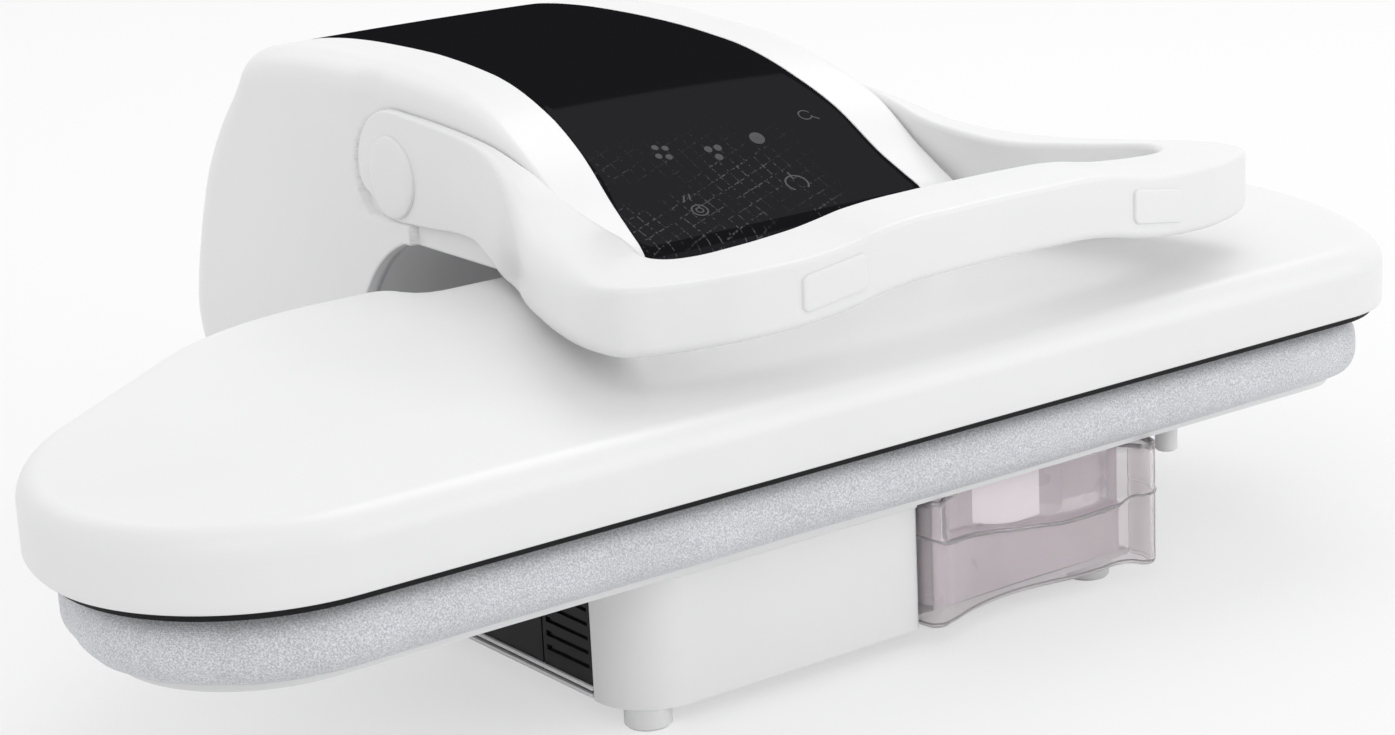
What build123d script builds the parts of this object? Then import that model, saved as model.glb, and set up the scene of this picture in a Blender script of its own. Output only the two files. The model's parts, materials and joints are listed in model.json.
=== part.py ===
from build123d import *
import os
from math import atan2, cos, hypot, radians, sin, sqrt, tan

os.makedirs("parts", exist_ok=True)

# Household steam press, millimetres, +Z up, X along the pressing plate, -Y towards the user.
# The origin is on the table, under the middle of the whole press.

# Driving dimensions: pressing plate in plan
plate_length = 660.0
plate_depth = 273.6
plate_corner = 79.0
nose_turn = 6.4
nose_run = 163.6
nose_shoulder = 146.5
bow_radius = 209.0
bow_corner = 48.0
notch_back = 136.3
notch_floor = 129.1
notch_depth = 21.0
notch_corner = 20.0
notch_root = 7.0

# Driving dimensions: pressing plate and board in height
foot_height = 8.5
board_bottom = 68.4
board_height = 29.8
board_crown = 0.8
board_bull = 12.5
press_gap = 0.4
plate_drop = 3.8
heat_thick = 9.4
shell_height = 30.6
shell_round = 12.0
shell_wall = 3.0
tray_rim = 3.2
tray_sheet = 1.2

# Driving dimensions: how far each layer is drawn in from the plate's outline
gasket_inset = 4.5
gasket_width = 9.5
gasket_grip = 3.0
board_inset = 11.0
tray_inset = 24.0
mat_inset = 38.0

# Driving dimensions: arm in side view
arm_x = 61.5
arm_half = 103.0
arm_wall = 3.2
arm_round = 14.0
hinge_y = 353.0
hinge_z = 67.8
hinge_radius = 53.0
hood_front = 11.7
hood_bottom = 137.8
arch_y = 149.5
arch_z = 67.0
arch_radius = 75.0
neck_lean = 14.0
glass_front = 79.0
glass_back = 62.0
glass_thick = 1.8
cover_thick = 2.0

# Driving dimensions: handle
grip_y = 180.3
grip_z = 168.3
grip_step = 4.0
root_radius = 31.5
root_floor = 147.4
seam_y = 168.0
grip_width = 105.5
grip_depth = 36.0
grip_sweep = 173.5
cap_radius = 19.5
cap_height = 4.5

# Driving dimensions: shafts, frame and fits
pin_radius = 6.0
running = 0.05
slip = 0.3
bush_wall = 3.0
frame_half = 70.0
frame_plate = 3.0
frame_band = 30.0
post_x = 40.0
post_y = 60.0
push_x = 55.0
push_y = 104.0
roller_z = 153.0
roller_radius = 6.0

# Driving dimensions: base
base_left = -119.0
base_front = -107.6
base_floor = 2.6
base_wall = 2.6
base_corner = 25.0
bay_front = -79.0
bay_seam = -43.0
bay_back = 31.0
dock_left = 26.5
dock_right = 153.0
dock_back = 14.0
rear_right = 242.0
rear_back = 400.0
deck_z = 64.4
foot_radius = 9.65

# Driving dimensions: water tank
tank_bottom = 9.0
tank_top = 57.0
tank_front = -115.0
tank_wall = 2.2
tank_flange = 3.0

# Worked out from the values above
plate_half = plate_depth / 2
overall_depth = plate_half + hinge_y + hinge_radius
plate_y = plate_half - overall_depth / 2
board_top = board_bottom + board_height
heat_bottom = board_top + press_gap
shell_bottom = heat_bottom + plate_drop
shell_top = shell_bottom + shell_height
hood_half = arm_half - grip_step
bore = pin_radius + running


def level(z, x=0.0, y=0.0):
    """Horizontal working plane at height z; its origin is (x, y) from the plate's middle."""
    return Plane(origin=(x, plate_y + y, z))


def side(x):
    """Upright working plane at x: sketch x runs to the back and sketch y runs up."""
    return Plane(origin=(x, plate_y, 0), x_dir=(0, 1, 0), z_dir=(1, 0, 0))


def front(y, x=0.0):
    """Upright working plane facing the user: sketch x runs to the right and sketch y up."""
    return Plane(origin=(x, plate_y + y, 0), x_dir=(1, 0, 0), z_dir=(0, -1, 0))


def nearest(shape, x, y):
    """The corner of a sketch that lies nearest to a point."""
    return shape.vertices().sort_by_distance((x, y))[0]


def plate_outline(inset, z, notched=False):
    """Outline of the plate, drawn in by an inset: blunt nose left, bowed end right, notch behind."""
    tip = -plate_length / 2
    bow_edge = plate_length / 2 - bow_radius + sqrt(bow_radius**2 - plate_half**2)
    slant = atan2(plate_half - nose_turn, nose_run)
    nose_side = plate_half + nose_turn - plate_corner
    nose_blend = 0.995 * nose_side * tan(radians(90) - (radians(90) - slant) / 2)
    with BuildSketch(level(z)) as outline:
        with BuildLine():
            Polyline(
                (bow_edge, -plate_half),
                (tip, -plate_half),
                (tip, nose_turn),
                (tip + nose_run, plate_half),
                (bow_edge, plate_half),
            )
            ThreePointArc((bow_edge, plate_half), (plate_length / 2, 0), (bow_edge, -plate_half))
        make_face()
        fillet(nearest(outline, tip, -plate_half), plate_corner)
        fillet(nearest(outline, tip, nose_turn), nose_blend)
        fillet(nearest(outline, tip + nose_run, plate_half), nose_shoulder)
        fillet(nearest(outline, bow_edge, plate_half), bow_corner)
        fillet(nearest(outline, bow_edge, -plate_half), bow_corner)
        if notched:
            notch_y = plate_half - notch_depth
            flare = (notch_back - notch_floor) / notch_depth
            over = plate_half + notch_depth
            with BuildLine():
                Polyline(
                    (arm_x - notch_floor, notch_y),
                    (arm_x - notch_back - flare * notch_depth, over),
                    (arm_x + notch_back + flare * notch_depth, over),
                    (arm_x + notch_floor, notch_y),
                    close=True,
                )
            make_face(mode=Mode.SUBTRACT)
            for way in (-1, 1):
                fillet(nearest(outline, arm_x + way * notch_floor, notch_y), notch_root)
                fillet(nearest(outline, arm_x + way * notch_back, plate_half), notch_corner)
        if inset:
            offset(amount=-inset)
    return outline.sketch


# Head: the pressing plate and its cover, carried by the arm
def plate_space(inset, z, height, rounding):
    """Solid of the plate's notched outline with rounded upper edges."""
    with BuildPart() as space:
        add(plate_outline(inset, z, notched=True))
        extrude(amount=height)
        fillet(space.faces().sort_by(Axis.Z)[-1].edges(), rounding)
    return space.part


post_places = [(way * post_x, post_y) for way in (-1, 1)]
push_places = [(way * push_x, push_y) for way in (-1, 1)]
post_hole = pin_radius + 2.0

with BuildPart() as head_shell:
    add(plate_space(0, shell_bottom, shell_height, shell_round))
    add(
        plate_space(shell_wall, shell_bottom, shell_height - shell_wall, shell_round - shell_wall),
        mode=Mode.SUBTRACT,
    )
    with BuildSketch(level(shell_top, arm_x)):
        with Locations(*post_places, *push_places):
            Circle(post_hole)
    extrude(amount=-2 * shell_wall, mode=Mode.SUBTRACT)
head_shell.part.label = "head_shell"
export_step(head_shell.part, "parts/head_shell.step")

with BuildPart() as heat_plate:
    add(plate_outline(gasket_inset + gasket_width + slip, heat_bottom, notched=True))
    extrude(amount=heat_thick)
    chamfer(heat_plate.faces().sort_by(Axis.Z)[0].edges(), 1.0)
    with BuildSketch(level(heat_bottom)):
        with GridLocations(58.0, 52.0, 9, 4):
            Circle(1.8)
    extrude(amount=heat_thick, mode=Mode.SUBTRACT)
heat_plate.part.label = "heat_plate"
export_step(heat_plate.part, "parts/heat_plate.step")

with BuildPart() as plate_gasket:
    add(plate_outline(gasket_inset, heat_bottom + slip, notched=True))
    extrude(amount=plate_drop - slip)
    add(plate_outline(shell_wall + slip, shell_bottom, notched=True))
    extrude(amount=gasket_grip)
    add(plate_outline(gasket_inset + gasket_width, heat_bottom, notched=True))
    extrude(amount=plate_drop + gasket_grip, mode=Mode.SUBTRACT)
plate_gasket.part.label = "plate_gasket"
export_step(plate_gasket.part, "parts/plate_gasket.step")

# The steam boiler is cast in one with a flange that lies on the insulation-free middle of the plate.
generator_z = heat_bottom + heat_thick
generator_height = 12.0
generator_y = -50.0
generator_length = 150.0
generator_width = 62.0
thermostat_x = arm_x - 112.0
thermostat_radius = 14.0
with BuildPart() as steam_generator:
    with BuildSketch(level(generator_z, arm_x, generator_y)):
        SlotOverall(generator_length, generator_width)
    extrude(amount=generator_height)
    chamfer(steam_generator.faces().sort_by(Axis.Z)[-1].edges(), 3.0)
    with BuildSketch(level(generator_z + generator_height, arm_x, generator_y)):
        with GridLocations(90.0, 30.0, 2, 2):
            Circle(5.0)
    extrude(amount=2.0)
    with BuildSketch(level(generator_z + generator_height, arm_x - 50.0, generator_y)):
        Circle(7.0)
        Circle(4.0, mode=Mode.SUBTRACT)
    extrude(amount=5.0)
steam_generator.part.label = "steam_generator"
export_step(steam_generator.part, "parts/steam_generator.step")

mat_thick = 6.0
with BuildPart() as insulation_mat:
    add(plate_outline(mat_inset, generator_z))
    extrude(amount=mat_thick)
    with BuildSketch(level(generator_z, arm_x, generator_y)):
        SlotOverall(generator_length + 2 * slip, generator_width + 2 * slip)
    extrude(amount=mat_thick, mode=Mode.SUBTRACT)
    with BuildSketch(level(generator_z, thermostat_x, generator_y)):
        Circle(thermostat_radius + slip)
    extrude(amount=mat_thick, mode=Mode.SUBTRACT)
insulation_mat.part.label = "insulation_mat"
export_step(insulation_mat.part, "parts/insulation_mat.step")

with BuildPart() as thermostat:
    with BuildSketch(level(generator_z, thermostat_x, generator_y)):
        Circle(thermostat_radius)
    extrude(amount=8.0)
    with BuildSketch(level(generator_z + 8.0, thermostat_x, generator_y)):
        Circle(9.0)
    extrude(amount=5.0)
    with BuildSketch(level(generator_z + 13.0, thermostat_x, generator_y)):
        with GridLocations(9.0, 1.0, 2, 1):
            Rectangle(1.0, 5.0)
    extrude(amount=4.0)
thermostat.part.label = "thermostat"
export_step(thermostat.part, "parts/thermostat.step")

# Steel spider on the plate's mat: two guide posts and two push posts rise into the arm
spider_z = generator_z + mat_thick
spider_thick = 3.0
post_top = 163.0
push_top = roller_z - roller_radius - 0.2
with BuildPart() as head_carrier:
    with BuildSketch(level(spider_z, arm_x)):
        for way in (-1, 1):
            with BuildLine():
                Polyline((way * post_x, 5.0), (way * post_x, post_y), (way * push_x, push_y - 2.0))
            trace(line_width=18.0)
        with Locations((0, post_y)):
            Rectangle(2 * post_x, 18.0)
    extrude(amount=spider_thick)
    with BuildSketch(level(spider_z + spider_thick, arm_x)):
        with Locations(*post_places):
            Circle(pin_radius)
    extrude(amount=post_top - spider_z - spider_thick)
    with BuildSketch(level(spider_z + spider_thick, arm_x)):
        with Locations(*push_places):
            Circle(pin_radius)
    extrude(amount=push_top - spider_z - spider_thick)
head_carrier.part.label = "head_carrier"
export_step(head_carrier.part, "parts/head_carrier.step")

# Compression springs round the guide posts push the head up when the handle is lifted
bridge_z = 146.0
bridge_thick = 3.0
bridge_top = bridge_z + bridge_thick
spring_wire = 1.6
spring_radius = pin_radius + 0.4 + spring_wire
with BuildPart() as head_springs:
    for way in (-1, 1):
        with BuildSketch(level(bridge_top, arm_x + way * post_x, post_y)):
            Circle(spring_radius)
            Circle(spring_radius - spring_wire, mode=Mode.SUBTRACT)
        extrude(amount=post_top - bridge_top - 2.5)
head_springs.part.label = "head_springs"
export_step(head_springs.part, "parts/head_springs.step")


# Pressing board below the plate
with BuildPart() as board_pad:
    add(plate_outline(board_inset, board_bottom))
    extrude(amount=board_height)
    with BuildSketch(side(-plate_length / 2)):
        with BuildLine():
            Polyline(
                (plate_half, board_top - board_crown),
                (plate_half, board_bottom),
                (-plate_half, board_bottom),
                (-plate_half, board_top - board_crown),
            )
            ThreePointArc(
                (-plate_half, board_top - board_crown),
                (0, board_top),
                (plate_half, board_top - board_crown),
            )
        make_face()
    extrude(amount=plate_length, mode=Mode.INTERSECT)
    fillet(board_pad.faces().sort_by(Axis.Z)[-1].edges(), board_bull)
    fillet(board_pad.faces().sort_by(Axis.Z)[0].edges(), board_bull)
board_pad.part.label = "board_pad"
export_step(board_pad.part, "parts/board_pad.step")

tray_z = board_bottom - slip - tray_rim
with BuildPart() as board_tray:
    add(plate_outline(tray_inset, tray_z))
    extrude(amount=tray_rim)
    add(plate_outline(tray_inset + tray_sheet, tray_z - 1.0))
    extrude(amount=tray_rim - tray_sheet + 1.0, mode=Mode.SUBTRACT)
board_tray.part.label = "board_tray"
export_step(board_tray.part, "parts/board_tray.step")


# Arm: a goose-neck hood that turns about the hinge behind the board
neck_y = arch_y + arch_radius
lean = radians(neck_lean)
barrel_low = (hinge_y - hinge_radius * sin(lean), hinge_z - hinge_radius * cos(lean))
neck_low = barrel_low[1] + (barrel_low[0] - neck_y) * tan(lean)
lip = (hood_front + 3.0, hood_bottom + 16.7)
crown_end = (326.0, 209.5)


def arch_start(inset):
    """Where the arch leaves the hood's flat underside, for a run drawn in by an inset."""
    rise = hood_bottom + inset - arch_z
    return (arch_y + sqrt((arch_radius + inset) ** 2 - rise**2), hood_bottom + inset)


def arch_middle(inset):
    """A point half way along the arch, for a run drawn in by an inset."""
    reach = (arch_radius + inset) * cos(radians(35.0))
    return (arch_y + reach, arch_z + reach * tan(radians(35.0)))


def arm_profile(x, inset=0.0):
    """Side view of the hood and its neck, drawn in by an inset."""
    with BuildSketch(side(x)) as profile:
        with BuildLine():
            crown = Spline(lip, (71.7, 190.4), (133.2, 212.0), (231.6, 218.2), crown_end)
            back = Spline(
                crown_end,
                (361.0, 174.0),
                (389.0, 128.0),
                (hinge_y + hinge_radius, hinge_z),
                tangents=((1.0, -1.0), (0.0, -1.0)),
            )
            ThreePointArc(back @ 1, (hinge_y, hinge_z - hinge_radius), barrel_low)
            Line(barrel_low, (neck_y, neck_low))
            Line((neck_y, neck_low), (neck_y, arch_z))
            ThreePointArc((neck_y, arch_z), arch_middle(0), arch_start(0))
            Line(arch_start(0), (hood_front, hood_bottom))
            Line((hood_front, hood_bottom), crown @ 0)
        make_face()
        fillet(nearest(profile, *crown_end), 10.0)
        fillet(nearest(profile, *lip), 9.0)
    if not inset:
        return profile.sketch
    drawn_in = offset(profile.sketch, amount=-inset)
    runs = [plain_run(edge) for edge in drawn_in.face().outer_wire().edges()]
    return Face(Wire.combine(runs, tol=0.01)[0])


def plain_run(edge):
    """A drawn-in curve as a plain spline; lines and arcs stay as they are."""
    if edge.geom_type == GeomType.OFFSET:
        return edge.to_splines(tolerance=0.002)
    return edge


def hood_block(half, inset):
    """Solid of the hood's side view, as wide as given."""
    with BuildPart() as block:
        add(arm_profile(arm_x - half, inset))
        extrude(amount=2 * half, dir=(1, 0, 0))
    return block.part


def hood_space(half, inset, rounding):
    """Hood block with its upper long edges rounded."""
    with BuildPart() as space:
        add(hood_block(half, inset))
        cheeks = space.faces().filter_by(Axis.X)
        fillet([cheek.edges().sort_by(Axis.Z)[-1] for cheek in cheeks], rounding)
    return space.part


def underside(half, near, far):
    """Band that follows the hood's flat underside, arch and neck between two depths."""
    foot_z = neck_low + 4.0
    start_y = hood_front + arm_wall + slip
    with BuildPart() as band:
        with BuildSketch(side(arm_x - half)):
            with BuildLine():
                Line((start_y, hood_bottom + near), arch_start(near))
                ThreePointArc(arch_start(near), arch_middle(near), (neck_y + near, arch_z))
                Line((neck_y + near, arch_z), (neck_y + near, foot_z))
                Line((neck_y + near, foot_z), (neck_y + far, foot_z))
                Line((neck_y + far, foot_z), (neck_y + far, arch_z))
                ThreePointArc((neck_y + far, arch_z), arch_middle(far), arch_start(far))
                Line(arch_start(far), (start_y, hood_bottom + far))
                Line((start_y, hood_bottom + far), (start_y, hood_bottom + near))
            make_face()
        extrude(amount=2 * half)
    return band.part


def glass_band(grow):
    """The part of the hood's skin that the dark glass takes up, with room to spare round it."""
    half = glass_front + grow
    with BuildPart() as band:
        add(hood_block(half, 0))
        add(hood_block(half + arm_wall, glass_thick + grow), mode=Mode.SUBTRACT)
        with BuildSketch(side(arm_x - half)):
            with BuildLine():
                Polyline(
                    (0, glass_low - grow),
                    (30.0, glass_low - grow),
                    (328.0 + grow, 178.0 - grow),
                    (364.0 + grow, 214.0 - grow),
                    (364.0 + grow, 240.0),
                    (0, 240.0),
                    close=True,
                )
            make_face()
        extrude(amount=2 * half, mode=Mode.INTERSECT)
        with BuildSketch(level(glass_low - 10.0, arm_x)):
            with BuildLine():
                left = Spline(
                    (-half, hood_front - 1.0),
                    (-glass_back - 6.0 - grow, 95.0),
                    (-glass_back - grow, 200.0),
                    (-glass_back + 4.0 - grow, 360.0),
                )
                mirror(left, about=Plane.YZ)
                Line((-half, hood_front - 1.0), (half, hood_front - 1.0))
                Line(left @ 1, (-(left @ 1).X, 360.0))
            make_face()
        extrude(amount=100.0, mode=Mode.INTERSECT)
    return band.part


def across(y, z, radius, start, end):
    """Pair of round bars along X, mirrored about the arm's middle, between two distances from it."""
    with BuildPart() as bars:
        for way in (-1, 1):
            with BuildSketch(side(arm_x + way * start)):
                with Locations((y, z)):
                    Circle(radius)
            extrude(amount=way * (end - start))
    return bars.part


glass_low = hood_bottom + 8.0
spacer_places = [(318.0, 140.0), (262.0, 176.0)]
cheek_room = arm_half - arm_wall
hood_room = hood_half - arm_wall
pocket_y = grip_y + 15.7

with BuildPart() as arm_shell:
    add(hood_space(arm_half, 0.0, arm_round))
    add(hood_space(hood_room, arm_wall, arm_round - arm_wall), mode=Mode.SUBTRACT)
    with BuildSketch(side(arm_x - cheek_room)):
        with BuildLine():
            Polyline(
                (grip_y + root_radius + 8.0, 120.0),
                (grip_y + root_radius + 8.0, 198.0),
                (300.0, 198.0),
                (350.0, 160.0),
                (375.0, 110.0),
                (380.0, 67.0),
                (neck_y + 10.0, 67.0),
                close=True,
            )
        make_face()
    extrude(amount=2 * cheek_room, mode=Mode.SUBTRACT)
    for way in (-1, 1):
        with BuildSketch(side(arm_x + way * hood_half)):
            with BuildLine():
                Polyline(
                    (hood_front - 10.0, hood_bottom - 5.0),
                    (seam_y, hood_bottom - 5.0),
                    (seam_y, root_floor),
                    (pocket_y, root_floor),
                    (pocket_y, 230.0),
                    (hood_front - 10.0, 230.0),
                    close=True,
                )
            make_face()
            with Locations((grip_y, grip_z)):
                Circle(root_radius + 1.5)
            with Locations((grip_y + 25.0, root_floor - 25.0)):
                Rectangle(2 * (grip_y + 25.0 - seam_y), 50.0, mode=Mode.SUBTRACT)
        extrude(amount=way * (grip_step + 1.0), mode=Mode.SUBTRACT)
    add(underside(hood_room, -1.0, arm_wall + 1.0), mode=Mode.SUBTRACT)
    add(glass_band(slip / 2), mode=Mode.SUBTRACT)
    for y, z in spacer_places:
        add(across(y, z, 5.0, frame_half + slip, cheek_room + 1.0))
    add(across(75.0, 157.0, 5.0, frame_half + slip, hood_room + 1.0))
    with BuildSketch(side(arm_x - cheek_room)):
        with Locations((hinge_y + 20.0, hinge_z - 60.0)):
            Rectangle(100.0, 80.0)
    extrude(amount=2 * cheek_room, mode=Mode.SUBTRACT)
    add(across(grip_y, grip_z, pin_radius + 1.0, 0.0, arm_half + 1.0), mode=Mode.SUBTRACT)
arm_shell.part.label = "arm_shell"
export_step(arm_shell.part, "parts/arm_shell.step")

with BuildPart() as glass_panel:
    add(glass_band(0.0))
glass_panel.part.label = "glass_panel"
export_step(glass_panel.part, "parts/glass_panel.step")

with BuildPart() as arm_under_cover:
    add(underside(hood_room - slip, 0.4, 0.4 + cover_thick))
    with BuildSketch(level(hood_bottom - 1.0, arm_x)):
        with Locations(*post_places, *push_places):
            Circle(post_hole)
    extrude(amount=cover_thick + 2.0, mode=Mode.SUBTRACT)
arm_under_cover.part.label = "arm_under_cover"
export_step(arm_under_cover.part, "parts/arm_under_cover.step")

frame_front = 48.0
bush_radius = bore + bush_wall
with BuildPart() as arm_frame:
    for way in (-1, 1):
        with BuildSketch(side(arm_x + way * frame_half)) as plate:
            with BuildLine():
                Polyline(
                    (hinge_y, hinge_z),
                    *spacer_places,
                    (grip_y, grip_z),
                    (frame_front, 157.0),
                )
            trace(line_width=frame_band)
            with Locations((hinge_y, hinge_z)):
                Circle(26.0)
            with Locations((hinge_y, hinge_z), (grip_y, grip_z)):
                Circle(bush_radius, mode=Mode.SUBTRACT)
        extrude(amount=-way * frame_plate)
arm_frame.part.label = "arm_frame"
export_step(arm_frame.part, "parts/arm_frame.step")

frame_room = frame_half - frame_plate
with BuildPart() as arm_bridge:
    with BuildSketch(level(bridge_z, arm_x, post_y)):
        RectangleRounded(2 * frame_room, 30.0, 3.0)
        with Locations(*[(way * post_x, 0) for way in (-1, 1)]):
            Circle(bush_radius, mode=Mode.SUBTRACT)
    extrude(amount=bridge_thick)
arm_bridge.part.label = "arm_bridge"
export_step(arm_bridge.part, "parts/arm_bridge.step")

with BuildPart() as guide_bushes:
    for x, y in post_places:
        with BuildSketch(level(bridge_z - 4.0, arm_x + x, y)):
            Circle(bush_radius)
            Circle(bore, mode=Mode.SUBTRACT)
        extrude(amount=bridge_thick + 4.0)
guide_bushes.part.label = "guide_bushes"
export_step(guide_bushes.part, "parts/guide_bushes.step")

with BuildPart() as arm_spacers:
    for y, z in spacer_places:
        add(across(y, z, 5.0, 0.0, frame_room))
arm_spacers.part.label = "arm_spacers"
export_step(arm_spacers.part, "parts/arm_spacers.step")


def bushes(y, z):
    """Pair of plain bushes in the frame plates."""
    with BuildPart() as pair:
        add(across(y, z, bush_radius, frame_room - 3.0, frame_half + 2.0))
        add(across(y, z, bore, frame_room - 4.0, frame_half + 3.0), mode=Mode.SUBTRACT)
    return pair.part


with BuildPart() as hinge_bushes:
    add(bushes(hinge_y, hinge_z))
hinge_bushes.part.label = "hinge_bushes"
export_step(hinge_bushes.part, "parts/hinge_bushes.step")

with BuildPart() as handle_bushes:
    add(bushes(grip_y, grip_z))
handle_bushes.part.label = "handle_bushes"
export_step(handle_bushes.part, "parts/handle_bushes.step")

# The touch keys' circuit board lies under the glass, on four legs that stand on the bridge.
board_low = (54.0, 170.6)
board_high = (78.0, 185.4)
board_half = 45.0
board_thick = 1.6
leg_x = 25.0
with BuildPart() as control_board:
    with BuildSketch(side(arm_x - board_half)):
        with BuildLine():
            Line(board_low, board_high)
        trace(line_width=board_thick)
    extrude(amount=2 * board_half)
    for leg_y in (post_y - 3.0, post_y + 11.0):
        climb = (board_high[1] - board_low[1]) / (board_high[0] - board_low[0])
        leg_top = board_low[1] + (leg_y - board_low[0]) * climb
        with BuildSketch(level(bridge_top, arm_x, leg_y)):
            with GridLocations(2 * leg_x, 1.0, 2, 1):
                Circle(2.5)
        extrude(amount=leg_top - bridge_top)
control_board.part.label = "control_board"
export_step(control_board.part, "parts/control_board.step")


# Handle: a stirrup that turns on the arm and presses the head down through two cranks
arm_gap = 0.6
grip_inner = hood_half + arm_gap
bar_front = -127.1
bar_end = -116.8


def handle_solid(inset):
    """Stirrup cut from its plan, its side view and the bow of its bar, drawn in by an inset."""
    tall = 220.0
    with BuildPart() as form:
        with BuildSketch(level(0, arm_x)) as plan:
            with BuildLine() as half_plan:
                Spline(
                    (0, bar_front),
                    (77.0, -124.0),
                    (128.0, bar_end),
                    (grip_sweep, -95.0),
                    tangents=((1.0, 0.0), (0.85, 0.5)),
                )
                Spline(
                    (grip_sweep, -95.0),
                    (157.8, -53.0),
                    (136.3, -4.0),
                    (115.8, 47.0),
                    (grip_width, 100.0),
                    tangents=((-0.4, 0.92), (0.0, 1.0)),
                )
                Polyline((grip_width, 100.0), (grip_width, 215.0), (grip_inner, 215.0), (grip_inner, 60.0))
                Spline(
                    (grip_inner, 60.0),
                    (104.0, 20.0),
                    (116.0, -27.0),
                    (139.0, -77.0),
                    tangents=((0.0, -1.0), (0.42, -0.9)),
                )
                Spline(
                    (139.0, -77.0),
                    (102.5, bar_end - 5.2 + grip_depth),
                    (0, bar_front + grip_depth),
                    tangents=((-0.92, -0.3), (-1.0, 0.0)),
                )
                mirror(half_plan.edges(), about=Plane.YZ)
            make_face()
            for way in (-1, 1):
                fillet(nearest(plan, way * grip_sweep, -95.0), 15.0)
                fillet(nearest(plan, way * 139.0, -77.0), 16.0)
            if inset:
                offset(amount=-inset)
        extrude(amount=tall, dir=(0, 0, 1))
        with BuildSketch(side(arm_x - grip_sweep - 10.0)) as profile:
            with BuildLine():
                Spline(
                    (grip_y + 27.0, 176.0),
                    (174.0, 199.5),
                    (101.5, 195.0),
                    (65.5, 187.7),
                    (-4.0, 175.4),
                    (-40.0, 178.0),
                    tangents=((0.0, 1.0), (-1.0, 0.1)),
                )
                Polyline((-40.0, 178.0), (-80.0, 192.0), (-130.0, 192.0), (-130.0, 152.5), (-80.0, 152.5))
                Spline(
                    (-80.0, 152.5),
                    (-11.0, 141.0),
                    (40.0, 138.2),
                    (81.0, 138.6),
                    (105.5, 147.4),
                    (125.0, 150.0),
                    (grip_y - 4.0, root_floor + 0.6),
                    tangents=((1.0, -0.1), (1.0, -0.05)),
                )
                ThreePointArc(
                    (grip_y - 4.0, root_floor + 0.6),
                    (grip_y + 18.0, 156.0),
                    (grip_y + 27.0, 176.0),
                )
            make_face()
            if inset:
                offset(amount=-inset)
        extrude(amount=2 * grip_sweep + 20.0, mode=Mode.INTERSECT)
        with BuildSketch(front(-84.0, arm_x)):
            with BuildLine():
                Spline((-145.0, 150.0), (-128.0, 156.0), (-77.0, 162.1), (0, 166.4), (77.0, 162.1), (128.0, 156.0), (145.0, 150.0))
                Line((-145.0, 150.0), (145.0, 150.0))
            make_face()
        extrude(amount=60.0, mode=Mode.SUBTRACT)
        with BuildSketch(front(-58.0, arm_x)):
            with BuildLine():
                Spline((-185.0, 178.6), (-128.0, 181.5), (-77.0, 187.0), (0, 190.4), (77.0, 187.0), (128.0, 181.5), (185.0, 178.6))
                Polyline((185.0, 178.6), (185.0, 200.0), (-185.0, 200.0), (-185.0, 178.6))
            make_face()
        extrude(amount=90.0, mode=Mode.SUBTRACT)
    return form.part


shaft_end = grip_inner + 4.2
handle_form = handle_solid(0)
pad_x = 87.0
pad_z = 168.0
pad_length = 29.8
pad_height = 14.8
pad_corner = 4.0
pad_seat = bar_front + 6.0
with BuildPart() as handle_body:
    add(handle_form)
    add(across(grip_y, grip_z, bore, grip_inner - 1.0, shaft_end + 0.2), mode=Mode.SUBTRACT)
    for way in (-1, 1):
        with BuildSketch(front(pad_seat, arm_x + way * pad_x)):
            with Locations((0, pad_z)):
                RectangleRounded(pad_length + 2 * slip, pad_height + 2 * slip, pad_corner + slip)
        extrude(amount=10.0, mode=Mode.SUBTRACT)
handle_body.part.label = "handle_body"
export_step(handle_body.part, "parts/handle_body.step")

with BuildPart() as grip_pads:
    for way in (-1, 1):
        with BuildSketch(front(pad_seat, arm_x + way * pad_x)):
            with Locations((0, pad_z)):
                RectangleRounded(pad_length, pad_height, pad_corner)
        extrude(amount=10.0)
    add(handle_form, mode=Mode.INTERSECT)
grip_pads.part.label = "grip_pads"
export_step(grip_pads.part, "parts/grip_pads.step")

with BuildPart() as handle_shaft:
    with BuildSketch(side(arm_x - shaft_end)):
        with Locations((grip_y, grip_z)):
            Circle(pin_radius)
    extrude(amount=2 * shaft_end)
handle_shaft.part.label = "handle_shaft"
export_step(handle_shaft.part, "parts/handle_shaft.step")

with BuildPart() as pivot_caps:
    for way in (-1, 1):
        with BuildSketch(side(arm_x + way * (grip_width + 0.1))):
            with Locations((grip_y, grip_z)):
                Circle(cap_radius)
        extrude(amount=way * cap_height)
    fillet(pivot_caps.edges().filter_by(GeomType.CIRCLE).group_by(Axis.X)[0], 3.0)
    fillet(pivot_caps.edges().filter_by(GeomType.CIRCLE).group_by(Axis.X)[-1], 3.0)
pivot_caps.part.label = "pivot_caps"
export_step(pivot_caps.part, "parts/pivot_caps.step")

with BuildPart() as press_cranks:
    for way in (-1, 1):
        with BuildSketch(side(arm_x + way * (push_x + 1.5))):
            with BuildLine():
                Line((grip_y, grip_z), (push_y, roller_z))
            trace(line_width=10.0)
            with Locations((grip_y, grip_z)):
                Circle(11.0)
                Circle(bore, mode=Mode.SUBTRACT)
            with Locations((push_y, roller_z)):
                Circle(5.0)
        extrude(amount=way * 5.0)
        with BuildSketch(side(arm_x + way * (push_x - 5.2))):
            with Locations((push_y, roller_z)):
                Circle(2.5)
        extrude(amount=way * 7.0)
press_cranks.part.label = "press_cranks"
export_step(press_cranks.part, "parts/press_cranks.step")

with BuildPart() as press_rollers:
    for way in (-1, 1):
        with BuildSketch(side(arm_x + way * (push_x - 5.0))):
            with Locations((push_y, roller_z)):
                Circle(roller_radius)
                Circle(2.5 + running, mode=Mode.SUBTRACT)
        extrude(amount=way * 6.3)
press_rollers.part.label = "press_rollers"
export_step(press_rollers.part, "parts/press_rollers.step")


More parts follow.
